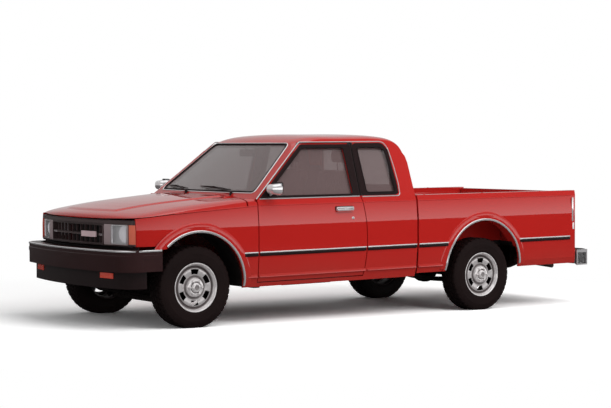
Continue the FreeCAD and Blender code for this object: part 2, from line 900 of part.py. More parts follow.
def cowl_panel():
    front_y = hood_rear_y + cowl_gap
    region = box(-nose_reach_x, nose_reach_x, front_y, screen_high_y, cowl_shelf_z, sky_z)
    lower = nose_dome.copy()
    lower.translate(V(0, 0, -skin))
    hollow = lower.common(nose_body(skin)).common(
        box(-nose_reach_x, nose_reach_x, front_y + skin, screen_high_y, sill_z, sky_z))
    panel = nose_volume.common(region).common(screen_front).cut(hollow)
    for side in (-1, 1):
        x = side * hood_hinge_x
        cheek = hood_arm_width
        block = box(x - cheek, x + cheek, front_y, hood_hinge_y + cheek, cowl_shelf_z,
                    sky_z).common(lower)
        panel = panel.fuse(block.common(screen_front))
    for side in (-1, 1):
        x = side * hood_hinge_x
        slot = hood_arm_width / 2 + side_clearance
        panel = panel.cut(box(x - slot, x + slot, front_y - skin, hood_hinge_y + hood_pin_radius * 3,
                              hood_hinge_z - hood_pin_radius * 3, sky_z))
        panel = panel.fuse(rod(V(x - hood_arm_width, hood_hinge_y, hood_hinge_z),
                               V(x + hood_arm_width, hood_hinge_y, hood_hinge_z), hood_pin_radius))
    return panel


# A band that follows the bow of the nose, from a front setback back to a depth.
def bow_band(setback, depth, low_z, high_z):
    x = nose_reach_x
    front = [V(-x, hood_lip_y + lip_back(x) + setback, low_z), V(0, hood_lip_y + setback, low_z),
             V(x, hood_lip_y + lip_back(x) + setback, low_z)]
    back = [p + V(0, depth, 0) for p in front]
    wire = Part.Wire([Part.Arc(*front).toShape(), Part.makeLine(front[2], back[2]),
                      Part.Arc(back[2], back[1], back[0]).toShape(), Part.makeLine(back[0], front[0])])
    return Part.Face(wire).extrude(V(0, 0, high_z - low_z))


def grille_panel(fenders):
    panel = bow_band(lamp_setback / 2, panel_depth, panel_low_z, panel_high_z).common(nose_outside)
    panel = panel.cut(box(-grille_half_width, grille_half_width, nose_start_y, 0, grille_low_z,
                          grille_high_z))
    for x0, x1 in ((lens_inner_x, lens_outer_x), (marker_inner_x, nose_reach_x)):
        pocket = box(x0, x1, nose_start_y, 0, lens_low_z, lens_high_z)
        panel = panel.cut(pocket).cut(mirrored(pocket))
    bar = bow_band(lamp_setback, panel_depth / 2, grille_bar_z - grille_bar_height / 2,
                   grille_bar_z + grille_bar_height / 2).common(
        box(-grille_half_width, grille_half_width, nose_start_y, 0, grille_low_z, grille_high_z))
    panel = panel.fuse(bar)
    step = 2 * grille_half_width / (grille_rib_count + 1)
    for k in range(grille_rib_count):
        x = (k + 1) * step - grille_half_width
        rib = bow_band(lamp_setback * 2, panel_depth / 2, grille_low_z, grille_high_z).common(
            box(x - grille_rib_width / 2, x + grille_rib_width / 2, nose_start_y, 0, grille_low_z,
                grille_high_z))
        panel = panel.fuse(rib)
    for item in fenders:
        panel = panel.cut(item)
    return panel


def headlamps():
    lens = bow_band(lamp_setback, lens_depth, lens_low_z, lens_high_z).common(
        box(lens_inner_x, lens_outer_x, nose_start_y, 0, lens_low_z, lens_high_z))
    return both_sides(lens)


def marker_lamps(fender_left):
    lens = bow_band(lamp_setback / 2, panel_depth, lens_low_z, lens_high_z).common(nose_outside).common(
        box(marker_inner_x, nose_reach_x, nose_start_y, 0, lens_low_z, lens_high_z)).cut(fender_left)
    return both_sides(lens)


# The bumper's plan: a bowed front and swept corners that wrap back along the sides.
def bumper_plan(inset, end_y, low_z, high_z):
    nose = -front_overhang + inset
    side = bumper_side_x - inset
    corner = bumper_corner_x - inset
    brow = corner - bumper_turn_width
    brow_y = nose + bumper_bow
    turn_y = brow_y + bumper_turn_length
    front = Part.Arc(V(-brow, brow_y, low_z), V(0, nose, low_z), V(brow, brow_y, low_z)).toShape()
    turn = Part.Arc(V(brow, brow_y, low_z), V(corner, brow_y + bumper_turn_mid, low_z),
                    V(side, turn_y, low_z)).toShape()
    corners = [V(side, turn_y, low_z), V(side, end_y, low_z), V(-side, end_y, low_z),
               V(-side, turn_y, low_z)]
    lines = [Part.makeLine(a, b) for a, b in zip(corners, corners[1:])]
    back = Part.Arc(V(-side, turn_y, low_z), V(-corner, brow_y + bumper_turn_mid, low_z),
                    V(-brow, brow_y, low_z)).toShape()
    return Part.Face(Part.Wire([front, turn] + lines + [back])).extrude(V(0, 0, high_z - low_z))


# A thick bar across the front whose ends thin to a skin along the fenders, on two horns.
def front_bumper():
    shell = bumper_plan(0, bumper_end_y, bumper_low_z, bumper_high_z - skin)
    inner = bumper_plan(bumper_depth, nose_length, bumper_low_z - skin, bumper_high_z)
    sides = bumper_plan(skin, nose_length, bumper_low_z - skin, bumper_high_z).cut(
        box(-nose_reach_x, nose_reach_x, -front_overhang, fender_front_y, 0, sky_z))
    bar = shell.cut(inner).cut(sides)
    half = bumper_horn_width / 2
    for side in (-1, 1):
        x = side * (rail_outer_x - rail_width / 2)
        bar = bar.fuse(box(x - half, x + half, bumper_depth / 2 - front_overhang, rail_front_y,
                           bumper_low_z,
                           rail_front_low_z + rail_depth))
    return bar


def front_valance():
    outer = bumper_plan(valance_setback, valance_end_y, valance_low_z, bumper_low_z)
    inner = bumper_plan(valance_setback + valance_thickness, nose_length, valance_low_z, bumper_low_z)
    return outer.cut(inner).cut(both_sides(turn_pocket()))


def turn_pocket():
    return box(turn_lamp_x - turn_lamp_width / 2, turn_lamp_x + turn_lamp_width / 2, -front_overhang,
               fender_front_y,
               turn_lamp_low_z, turn_lamp_high_z)


def turn_lamps():
    outer = bumper_plan(valance_setback - turn_lamp_proud, valance_end_y, turn_lamp_low_z,
                        turn_lamp_high_z)
    inner = bumper_plan(valance_setback + valance_thickness, nose_length, turn_lamp_low_z,
                        turn_lamp_high_z)
    return both_sides(outer.cut(inner).common(turn_pocket()))


# Inner wheel wells with their aprons, and the radiator's support between them.
def engine_bay():
    ring = rod(V(front_well_inner_x, front_arch_y, arch_centre_z),
               V(nose_reach_x, front_arch_y, arch_centre_z),
               arch_radius + inner_well_wall).cut(
        rod(V(0, front_arch_y, arch_centre_z), V(nose_reach_x, front_arch_y, arch_centre_z),
            arch_radius))
    inside = nose_body(skin + seat_gap)
    upper = box(0, nose_reach_x, nose_start_y, nose_length, panel_low_z, sky_z)
    rear = box(0, nose_reach_x, front_arch_y, aperture_y - pillar, arch_centre_z, sky_z)
    well = ring.common(inside).common(upper.fuse(rear))
    apron = box(front_well_inner_x, front_well_inner_x + inner_well_wall, support_y,
                aperture_y - pillar,
                apron_low_z, panel_high_z)
    support = box(-support_half_width, support_half_width, support_y, support_y + support_thickness,
                  support_low_z, panel_high_z - skin)
    opening = box(-radiator_half_width, radiator_half_width, support_y - skin,
                  support_y + support_thickness + skin,
                  radiator_low_z, radiator_high_z)
    corner = box(front_well_inner_x, nose_reach_x, support_y - skin, nose_length, 0, panel_low_z)
    support = support.common(inside).cut(opening).cut(both_sides(corner)).cut(frame_rails())
    half = joined([well, apron])
    return joined([half, mirrored(half), support])


def radiator():
    return box(-radiator_half_width, radiator_half_width, support_y - seat_gap,
               support_y + radiator_thickness,
               radiator_low_z, radiator_high_z)


# Load bed

# The left side of the bed's front view, from a low edge to the rail.
def bed_points(inset, low_z):
    points = flank_points(inset, shoulder_z, bed_rail_z)
    lean = (ledge_inset - rocker_inset) / (ledge_z - sill_z)
    rail_x = half_width - inset - shoulder_inset - (
        belt_inset - shoulder_inset) * (bed_rail_z - shoulder_z) / (belt_z - shoulder_z)
    low_x = half_width - inset - ledge_inset + lean * (ledge_z - low_z)
    return [(low_x, low_z)] + points[1:-2] + [(rail_x, bed_rail_z)]


# The bed's plan with its round rear corners.
def bed_plan():
    half = half_width + overrun
    r = bed_corner_radius
    edge = half_width - r
    reach = r * math.sqrt(0.5)
    start_y = bed_rear_y - r
    left = Part.Arc(V(-half_width, start_y, 0), V(-edge - reach, start_y + reach, 0),
                    V(-edge, bed_rear_y, 0))
    right = Part.Arc(V(edge, bed_rear_y, 0), V(edge + reach, start_y + reach, 0),
                     V(half_width, start_y, 0))
    around = [V(half_width, start_y, 0), V(half, start_y, 0), V(half, 0, 0), V(-half, 0, 0),
              V(-half, start_y, 0),
              V(-half_width, start_y, 0)]
    lines = [Part.makeLine(a, b) for a, b in zip(around, around[1:])]
    back = Part.makeLine(V(-edge, bed_rear_y, 0), V(edge, bed_rear_y, 0))
    return Part.Face(Part.Wire(lines + [left.toShape(), back, right.toShape()]))


def bed_body(grow):
    points = bed_points(-grow, bed_low_front_z)
    block = slab_y(two_sided(points), bed_front_y, bed_rear_y)
    return block.common(bed_plan().extrude(V(0, 0, sky_z)))


bed_outside = bed_body(0)
tailgate_rear_y = bed_rear_y - tailgate_inset
tailgate_pin_y = tailgate_rear_y - tailgate_thickness / 2
tailgate_turn_radius = math.hypot(tailgate_thickness / 2, tailgate_pin_z - tailgate_low_z)
bed_floor_rear_y = tailgate_pin_y - tailgate_turn_radius - panel_gap
tailgate_pin_x = tailgate_half_width + tailgate_pin_reach


def lamp_region():
    return box(tail_lamp_inner_x, half_width + skin, bed_rear_y - tail_lamp_depth, bed_rear_y + skin,
               tail_lamp_low_z, tail_lamp_high_z)


def bed_side():
    rear_y = bed_rear_y + skin
    under = slab_y(two_sided(bed_points(skin, sill_z)), 0, rear_y)
    under = under.common(box(0, half_width, 0, rear_y, 0, bed_floor_bottom_z))
    load_room = box(0, bed_inner_x, 0, rear_y, bed_floor_bottom_z, sky_z)
    side = bed_outside.common(box(0, half_width, 0, rear_y, 0, sky_z)).cut(under).cut(load_room)
    side = arch_trimmed(side.cut(lamp_region()), rear_arch_y, bed_outside, bed_body(arch_lip_proud),
                        sill_z, sill_z)
    bore = rod(V(bed_inner_x - skin, tailgate_pin_y, tailgate_pin_z),
               V(tailgate_pin_x + side_clearance, tailgate_pin_y, tailgate_pin_z),
               tailgate_pin_radius + running_clearance)
    return side.cut(bore)


def tail_lamps():
    return both_sides(bed_outside.common(lamp_region()))


def load_bed():
    rib_base_z = bed_floor_top_z - bed_rib_height
    floor = box(-bed_inner_x, bed_inner_x, bed_front_y, bed_floor_rear_y, bed_floor_bottom_z,
                rib_base_z)
    front = box(-bed_inner_x, bed_inner_x, bed_front_y, bed_front_y + bed_front_wall,
                bed_floor_bottom_z,
                bed_rail_z - skin)
    sill = box(-bed_inner_x, bed_inner_x, tailgate_rear_y - bed_sill_depth, tailgate_rear_y,
               rail_rear_low_z,
               bed_sill_high_z)
    strap = box(-bed_inner_x, bed_inner_x, bed_floor_rear_y - wall, tailgate_rear_y - bed_sill_depth,
                bed_floor_bottom_z - bed_strap_depth, bed_floor_bottom_z)
    low_y = rear_arch_y - arch_radius - inner_well_wall
    high_y = rear_arch_y + arch_radius + inner_well_wall
    house = box(wheelhouse_inner_x, bed_inner_x, low_y, high_y, bed_floor_bottom_z, wheelhouse_top_z)
    room = box(wheelhouse_inner_x + inner_well_wall, bed_inner_x + skin, low_y + inner_well_wall,
               high_y - inner_well_wall, 0, wheelhouse_top_z - inner_well_wall)
    parts = [floor, front, sill, strap, house, mirrored(house)]
    pitch = 2 * bed_inner_x / bed_rib_count
    for k in range(bed_rib_count):
        x = (k + 0.5) * pitch - bed_inner_x
        parts.append(box(x - bed_rib_width / 2, x + bed_rib_width / 2, bed_front_y, bed_floor_rear_y,
                         rib_base_z,
                         bed_floor_top_z))
    return joined(parts).cut(both_sides(room)).cut(frame_rails())


def tailgate():
    panel = box(-tailgate_half_width, tailgate_half_width, tailgate_rear_y - tailgate_thickness,
                tailgate_rear_y,
                tailgate_low_z, tailgate_high_z)
    pin = rod(V(-tailgate_pin_x, tailgate_pin_y, tailgate_pin_z),
              V(tailgate_pin_x, tailgate_pin_y, tailgate_pin_z),
              tailgate_pin_radius)
    return panel.fuse(pin)


# A channel open to the front and below, its middle lowered to a step, with a hole for a ball and two
# brackets.
def rear_bumper():
    rear_y = wheelbase + rear_overhang
    thick = rear_bumper_skin
    half = rear_bumper_half_width
    step_half = rear_step_half_width
    step_z = rear_bumper_high_z - rear_step_drop
    bar = box(-half, half, rear_bumper_front_y, rear_y, rear_bumper_low_z, rear_bumper_high_z)
    bar = bar.cut(box(-step_half, step_half, rear_bumper_front_y - skin, rear_y + skin, step_z, sky_z))
    hollows = []
    for x0, x1, top in ((-half, -step_half, rear_bumper_high_z), (-step_half, step_half, step_z),
                        (step_half, half, rear_bumper_high_z)):
        hollows.append(box(x0 + thick, x1 - thick, rear_bumper_front_y - skin, rear_y - thick,
                           rear_bumper_low_z - skin, top - thick))
    bar = bar.cut(Part.makeCompound(hollows))
    ball_y = rear_y - hitch_hole_setback
    bar = bar.cut(rod(V(0, ball_y, rear_bumper_low_z), V(0, ball_y, rear_bumper_high_z),
                      hitch_hole_radius))
    for side in (-1, 1):
        x = side * (rail_outer_x - rail_width / 2)
        half_bracket = bumper_bracket_width / 2
        bar = bar.fuse(box(x - half_bracket, x + half_bracket, tailgate_rear_y, rear_y - thick,
                           rail_rear_low_z + rail_web, rear_bumper_high_z - thick))
    return bar


# Chassis

# The height of the rails' underside: level ahead of the cab, dropped under it, and raised over the rear
# axle.
def rail_low(y):
    if y < rail_drop_end_y:
        share = max(0, (y - rail_drop_y) / (rail_drop_end_y - rail_drop_y))
        return rail_front_low_z + share * (rail_mid_low_z - rail_front_low_z)
    share = min(1, max(0, (y - rail_rise_y) / (rail_rise_end_y - rail_rise_y)))
    return rail_mid_low_z + share * (rail_rear_low_z - rail_mid_low_z)


def frame_rails():
    stations = [rail_front_y, rail_drop_y, rail_drop_end_y, rail_rise_y, rail_rise_end_y, rail_rear_y]
    low = [(y, rail_low(y)) for y in stations]
    outline = low + [(y, z + rail_depth) for y, z in reversed(low)]
    channel = [(y, z + rail_web) for y, z in low] + [(y, z + rail_depth - rail_web) for y,
                                                     z in reversed(low)]
    rail = slab_x(outline, rail_outer_x - rail_width, rail_outer_x)
    return both_sides(rail.cut(slab_x(channel, rail_outer_x - rail_width - skin,
                                      rail_outer_x - rail_web)))


def cross_y(share):
    return rail_front_y + share * (rail_rear_y - rail_front_y)


def frame():
    web = rail_outer_x - rail_web
    half = cross_width / 2
    parts = frame_rails().Solids
    for share in cross_shares:
        y = cross_y(share)
        high = rail_low(y) + rail_depth - rail_web
        parts.append(box(-web, web, y - half, y + half, high - cross_depth, high))
    bridge_low = gearbox_low_z - gearbox_bridge_depth
    parts.append(box(-rail_outer_x, rail_outer_x, gearbox_bridge_y - half, gearbox_bridge_y + half,
                     bridge_low,
                     gearbox_low_z))
    for side in (-1, 1):
        x0, x1 = sorted((side * (rail_outer_x - rail_width), side * rail_outer_x))
        parts.append(box(x0, x1, gearbox_bridge_y - half, gearbox_bridge_y + half, bridge_low,
                         rail_mid_low_z))
    carrier_low = rail_rear_low_z + rail_depth - rail_web - cross_depth
    parts.append(box(-spare_carrier_width / 2, spare_carrier_width / 2, cross_y(cross_shares[-2]),
                     cross_y(cross_shares[-1]), carrier_low, carrier_low + spare_carrier_depth))
    parts.append(rod(V(0, spare_y, spare_low_z + spare_width), V(0, spare_y, carrier_low),
                     spare_stud_radius))
    return joined(parts)


# The crossmember, its towers beside the rails, and the upper and lower arms out to the kingpins.
def front_suspension():
    parts = [box(-crossmember_half_width, crossmember_half_width, -crossmember_half_length,
                 crossmember_half_length,
                 crossmember_low_z, crossmember_high_z)]
    half = arm_thickness / 2
    for side in (-1, 1):
        pin_x = side * kingpin_x
        for z in (lower_arm_z, upper_arm_z):
            outline = [(side * arm_inner_x, -arm_inner_half_width), (pin_x, -arm_outer_half_width),
                       (pin_x, arm_outer_half_width), (side * arm_inner_x, arm_inner_half_width)]
            eye = rod(V(pin_x, 0, z - half), V(pin_x, 0, z + half), arm_outer_half_width)
            bore = rod(V(pin_x, 0, z - half - skin), V(pin_x, 0, z + half + skin),
                       kingpin_radius + running_clearance)
            parts.append(slab_z(outline, z - half, z + half).fuse(eye).cut(bore))
        x0, x1 = sorted((side * (crossmember_half_width - skin), side * (rail_outer_x + skin)))
        parts.append(box(x0, x1, -arm_inner_half_width / 2, arm_inner_half_width / 2, crossmember_low_z,
                         upper_arm_z + half))
    return joined(parts).cut(tipped(frame_rails()))


def knuckle():
    low = lower_arm_z + arm_thickness / 2 + side_clearance
    high = upper_arm_z - arm_thickness / 2 - side_clearance
    half = knuckle_width / 2
    upright = box(kingpin_x - half, kingpin_x + half, -knuckle_length / 2, knuckle_length / 2, low,
                  high)
    pin = rod(V(kingpin_x, 0, kingpin_low_z), V(kingpin_x, 0, kingpin_high_z), kingpin_radius)
    spindle = rod(V(kingpin_x, 0, axle_z), V(hub_end_x - spindle_margin, 0, axle_z), spindle_radius)
    steer = box(kingpin_x - half, kingpin_x - half + steer_arm_size, knuckle_length / 2 - skin,
                knuckle_length / 2 + steer_arm_length, low + steer_arm_size, low + 2 * steer_arm_size)
    return joined([upright, pin, spindle, steer])


# Wheels

rim_outer_x = wheel_plane + tyre_width / 2 - rim_wall
rim_inner_x = wheel_plane - tyre_width / 2 + rim_wall
rim_disc_x = rim_outer_x - rim_disc_inset
hub_end_x = rim_disc_x - rim_disc_thickness
hub_start_x = hub_end_x - hub_length
bead_radius = rim_radius - rim_wall * 2


# A ring turned about the axle's line from (x, radius) points.
def turned(points, y):
    spun = face([V(x, y, r) for x, r in points]).revolve(V(0, y, 0), V(1, 0, 0), 360)
    spun.translate(V(0, 0, axle_z))
    return spun


# The wheel's half cross-section: hub with its brake disc, dished plate, rim and cap, one outline round
# the bore.
def wheel_outline():
    well = rim_radius - rim_well_depth
    inside = bead_radius - rim_wall
    crown_radius = (rim_window_inner + rim_window_outer) / 2
    bore_radius = spindle_radius + running_clearance
    brake_x = hub_start_x + brake_disc_thickness
    cap_end = rim_disc_x + hub_cap_depth
    nose_end = cap_end + hub_cap_nose_depth
    back = [(hub_start_x, bore_radius), (hub_start_x, brake_disc_radius), (brake_x, brake_disc_radius),
            (brake_x, hub_radius), (hub_end_x, hub_radius), (hub_end_x, rim_window_inner),
            (rim_disc_x, crown_radius), (hub_end_x, well - rim_wall)]
    rim = [(wheel_plane - rim_dish, well - rim_wall), (rim_inner_x + rim_lip_width * 2, inside),
           (rim_inner_x, inside), (rim_inner_x, rim_radius), (rim_inner_x + rim_wall, rim_radius),
           (rim_inner_x + rim_wall, bead_radius), (rim_inner_x + rim_lip_width * 2, bead_radius),
           (wheel_plane - rim_dish, well), (rim_disc_x, well),
           (rim_outer_x - rim_lip_width * 2, bead_radius),
           (rim_outer_x - rim_wall, bead_radius), (rim_outer_x - rim_wall, rim_radius),
           (rim_outer_x, rim_radius),
           (rim_outer_x, rim_radius - rim_lip_width), (rim_outer_x - rim_lip_width, inside),
           (rim_disc_x, well - rim_wall)]
    front = [(rim_disc_x + rim_disc_thickness, crown_radius), (rim_disc_x, rim_window_inner),
             (rim_disc_x, hub_cap_radius), (cap_end, hub_cap_radius - rim_wall * 2),
             (cap_end, hub_cap_nose_radius),
             (nose_end, hub_cap_nose_radius - rim_wall), (nose_end, 0), (hub_end_x, 0),
             (hub_end_x, bore_radius)]
    return back + rim + front


def rim_window(y):
    inner_half = rim_window_inner_width / 2
    outer_half = rim_window_outer_width / 2
    low = axle_z + rim_window_inner + rim_wall
    high = axle_z + rim_window_outer
    return slab_x([(y - inner_half, low), (y - outer_half, high), (y + outer_half, high),
                   (y + inner_half, low)],
                  wheel_plane, rim_outer_x + skin)


def wheel(y):
    whole = turned(wheel_outline(), y)
    for k in range(rim_window_count):
        window = rim_window(y)
        window.rotate(V(0, y, axle_z), V(1, 0, 0), 360 * k / rim_window_count)
        whole = whole.cut(window)
    return whole


def tyre(y):
    half = tyre_width / 2
    tread = tyre_radius - tyre_shoulder_drop
    right = [(wheel_plane + half - rim_wall * 2, bead_radius),
             (wheel_plane + half - rim_wall * 2, rim_radius + rim_wall),
             (wheel_plane + half, tyre_bulge_radius), (wheel_plane + half - tyre_sidewall_inset / 2,
                                                       tread),
             (wheel_plane + half - tyre_sidewall_inset, tyre_radius)]
    left = [(2 * wheel_plane - x, r) for x, r in reversed(right)]
    ground = box(0, half_width, y - tyre_radius, y + tyre_radius, -tyre_radius, 0)
    return turned(right + left, y).cut(ground)


# Rear axle, springs and driveline

def rear_axle():
    end = hub_start_x - panel_gap
    tip = hub_end_x - spindle_margin
    bowl = [(share * differential_radius, height * differential_radius) for share,
            height in bowl_shares]
    right = bowl + [(end, axle_tube_radius), (end, spindle_radius), (tip, spindle_radius), (tip, 0)]
    left = [(-x, r) for x, r in reversed(right)]
    return turned(right + left, wheelbase)


axle_in_body = untipped(Part.Vertex(V(0, wheelbase, axle_z))).Point
spring_top_z = axle_in_body.z - axle_tube_radius


def spring_arc(drop):
    return Part.Arc(V(0, spring_front_y, spring_eye_z - drop),
                    V(0, axle_in_body.y, spring_top_z - drop),
                    V(0, spring_rear_y, spring_rear_eye_z - drop)).toShape()


# One arched stack of leaves under the axle, its eyes on hangers beside the rail, and the seat that
# clamps the tube.
def leaf_springs():
    thick = spring_leaf * spring_leaf_count
    high = spring_arc(0)
    low = spring_arc(thick)
    ends = [Part.makeLine(V(0, y, z), V(0, y, z - thick))
            for y, z in ((spring_front_y, spring_eye_z), (spring_rear_y, spring_rear_eye_z))]
    stack = Part.Face(Part.Wire([high, ends[1], low, ends[0]])).extrude(V(spring_width, 0, 0))
    x0 = spring_x - spring_width / 2
    x1 = spring_x + spring_width / 2
    stack.translate(V(x0, 0, 0))
    parts = [stack]
    for y, z in ((spring_front_y, spring_eye_z), (spring_rear_y, spring_rear_eye_z)):
        parts.append(rod(V(x0, y, z - thick / 2), V(x1, y, z - thick / 2), spring_eye_radius))
        parts.append(box(rail_outer_x, x1, y - spring_eye_radius, y + spring_eye_radius, z - thick / 2,
                         rail_low(y) + rail_depth - skin))
    half = spring_seat_length / 2
    parts.append(box(x0, x1, axle_in_body.y - half, axle_in_body.y + half,
                     spring_top_z - thick - spring_plate,
                     axle_in_body.z))
    tube = untipped(rod(V(0, wheelbase, axle_z), V(half_width, wheelbase, axle_z),
                        axle_tube_radius + seat_gap))
    return both_sides(joined(parts).cut(tube))


def driveshaft():
    half = gearbox_width / 2
    gearbox = box(-half, half, gearbox_front_y, gearbox_rear_y, gearbox_low_z, gearbox_high_z)
    start = V(0, gearbox_rear_y, (gearbox_low_z + gearbox_high_z) / 2)
    side = V(differential_radius, 0, 0)
    bowl = rod(axle_in_body - side, axle_in_body + side, differential_radius + seat_gap)
    return gearbox.fuse(rod(start, axle_in_body, driveshaft_radius)).cut(bowl)


def engine_block():
    block = box(-engine_half_width, engine_half_width, engine_front_y, gearbox_front_y, engine_low_z,
                engine_high_z)
    web = rail_outer_x - rail_web
    low = rail_front_low_z + rail_web
    mount = box(-web, web, engine_mount_y, engine_mount_y + engine_mount_length, low,
                low + engine_mount_height)
    return joined([block, mount])


def fuel_tank():
    tank = box(-tank_outer_x, -rail_outer_x, tank_front_y, tank_rear_y, tank_low_z, tank_high_z)
    edges = [e for e in tank.Edges if abs(e.Vertexes[0].Y - e.Vertexes[-1].Y) > tank_round]
    return tank.makeFillet(tank_round, edges)


# A round bar or pipe along straight runs joined by arcs that touch them.
def pipe(points, radius, bend_radius):
    edges = []
    start = points[0]
    for before, corner, after in zip(points, points[1:], points[2:]):
        back = (before - corner).normalize()
        ahead = (after - corner).normalize()
        half_turn = (math.pi - back.getAngle(ahead)) / 2
        reach = bend_radius * math.tan(half_turn)
        middle = (back + ahead).normalize()
        depth = bend_radius / math.cos(half_turn) - bend_radius
        edges.append(Part.makeLine(start, corner + back * reach))
        edges.append(Part.Arc(corner + back * reach, corner + middle * depth,
                              corner + ahead * reach).toShape())
        start = corner + ahead * reach
    edges.append(Part.makeLine(start, points[-1]))
    section = Part.Wire(Part.makeCircle(radius, points[0], points[1] - points[0]))
    return Part.Wire(edges).makePipeShell([section], True, True)


# The exhaust pipe with its silencer, and two hangers up to the frame.
def exhaust():
    points = [V(exhaust_front_x, exhaust_front_y, engine_low_z),
              V(exhaust_front_x, exhaust_front_y, exhaust_z),
              V(exhaust_x, muffler_front_y - muffler_radius, exhaust_z),
              V(exhaust_x, exhaust_rise_y, exhaust_z),
              V(exhaust_x, exhaust_rise_end_y, exhaust_over_z),
              V(exhaust_x, exhaust_cross_y, exhaust_over_z),
              V(exhaust_beside_x, exhaust_beside_y, exhaust_over_z),
              V(exhaust_beside_x, exhaust_turn_y, exhaust_turn_z),
              V(tail_pipe_x, tail_pipe_start_y, tail_pipe_start_z),
              V(tail_pipe_x, tail_pipe_tip_y, tail_pipe_tip_z)]
    silencer = rod(V(exhaust_x, muffler_front_y, exhaust_z), V(exhaust_x, muffler_rear_y, exhaust_z),
                   muffler_radius)
    half = exhaust_hanger_width / 2
    y = cross_y(cross_shares[1])
    member_low = rail_low(y) + rail_depth - rail_web - cross_depth
    front_hanger = box(exhaust_x - half, exhaust_x + half, y - half, y + half, exhaust_z, member_low)
    y = (exhaust_beside_y + exhaust_turn_y) / 2
    rear_hanger = box(exhaust_beside_x - half, exhaust_beside_x + half, y - half, y + half,
                      exhaust_turn_z,
                      rail_low(y))
    return joined([pipe(points, exhaust_radius, exhaust_bend), silencer, front_hanger, rear_hanger])


# The spare wheel lies flat under the bed, turned about its own upright axis.
def spare_wheel():
    high = spare_low_z + spare_width
    side = tyre_sidewall_inset
    outline = [(0, high - rim_disc_thickness), (0, high), (spare_hole_radius, high),
               (rim_radius - rim_lip_width, high - rim_disc_inset), (rim_radius, high - rim_wall),
               (tyre_bulge_radius, high), (tyre_radius - side / 2, high - side),
               (tyre_radius, high - side * 2),
               (tyre_radius, spare_low_z + side * 2), (tyre_radius - side / 2, spare_low_z + side),
               (tyre_bulge_radius, spare_low_z), (rim_radius, spare_low_z + rim_wall),
               (rim_radius - rim_lip_width, spare_low_z + rim_wall),
               (rim_radius - rim_lip_width - rim_wall, high - rim_disc_inset - rim_disc_thickness),
               (spare_hole_radius, high - rim_disc_thickness)]
    wheel_face = face([V(r, spare_y, z) for r, z in outline])
    return wheel_face.revolve(V(0, spare_y, 0), V(0, 0, 1), 360)


# Interior

def dashboard():
    front_y = firewall_y + firewall_thickness
    outline = [(front_y, dash_low_z), (front_y, dash_high_z), (dash_rear_y - dash_round, dash_high_z),
               (dash_rear_y, dash_high_z - dash_round), (dash_rear_y - dash_round, dash_low_z)]
    return slab_x(outline, -dash_half_width, dash_half_width).common(cab_room)


def seat(x):
    half = seat_width / 2
    cushion = box(x - half, x + half, seat_front_y, seat_rear_y, seat_low_z, seat_high_z)
    top_y = seat_rear_y + seat_back_lean
    back = slab_x([(seat_rear_y - seat_back_thickness, seat_high_z),
                   (seat_rear_y - seat_back_thickness, seat_low_z),
                   (seat_rear_y, seat_low_z), (top_y, seat_back_top_z),
                   (top_y - seat_back_top_thickness, seat_back_top_z)], x - half, x + half)
    rest = box(x - headrest_width / 2, x + headrest_width / 2, top_y - headrest_thickness, top_y,
               seat_back_top_z, seat_back_top_z + headrest_height)
    base = box(x - seat_base_width / 2, x + seat_base_width / 2, seat_front_y + seat_base_inset,
               seat_rear_y - seat_base_inset, floor_top_z, seat_low_z)
    return joined([cushion, back, rest, base])


def seats():
    return Part.makeCompound([seat(seat_x), seat(-seat_x)])


steering_tilt = math.radians(steering_tilt_degrees)
steering_axis = V(0, math.cos(steering_tilt), math.sin(steering_tilt))
steering_centre = V(steering_x, steering_centre_y, steering_centre_z)
steering_hub_back = steering_centre - steering_axis * steering_hub_depth


def steering_wheel():
    rim = Part.makeTorus(steering_wheel_radius, steering_rim_radius, steering_centre, steering_axis)
    hub = rod(steering_hub_back, steering_centre, steering_hub_radius)
    shaft = rod(steering_hub_back - steering_axis * shaft_insert, steering_hub_back, shaft_radius)
    parts = [rim, hub, shaft]
    across = V(1, 0, 0)
    up = steering_axis.cross(across)
    middle = steering_centre - steering_axis * (steering_hub_depth / 2)
    for degrees in steering_spoke_degrees:
        turn = math.radians(degrees)
        direction = across * math.cos(turn) + up * math.sin(turn)
        parts.append(rod(middle, steering_centre + direction * steering_wheel_radius,
                         steering_spoke_radius))
    return joined(parts)


def steering_column(dash):
    start = steering_hub_back - steering_axis * panel_gap
    column = rod(start - steering_axis * column_length, start, column_radius)
    bore = rod(start - steering_axis * (shaft_insert + skin), start, shaft_radius + running_clearance)
    return largest(column.cut(bore).cut(dash))


# Doors' fittings

def mirror(panel):
    shell = box(mirror_inner_x, mirror_outer_x, mirror_front_y, mirror_front_y + mirror_length,
                mirror_low_z,
                mirror_low_z + mirror_height)
    shell = shell.makeFillet(mirror_round, shell.Edges)
    arm_y = mirror_front_y + mirror_length
    arm = box(0, mirror_inner_x + mirror_round, arm_y - mirror_arm_width, arm_y - mirror_round / 2,
              mirror_low_z + mirror_round / 2, mirror_low_z + mirror_arm_height)
    inner = slab_y(two_sided(flank_points(pillar / 2, shoulder_z, sky_z)), 0, wheelbase)
    return largest(shell.fuse(arm.cut(inner)).cut(panel))


def door_handle():
    half = door_handle_length / 2
    return box(half_width - shoulder_inset, half_width + door_handle_depth, door_handle_y - half,
               door_handle_y + half, door_handle_z - door_handle_height / 2,
               door_handle_z + door_handle_height / 2)


def largest(shape):
    return max(shape.Solids, key=lambda solid: solid.Volume)


# Every node's solids, written out one by one

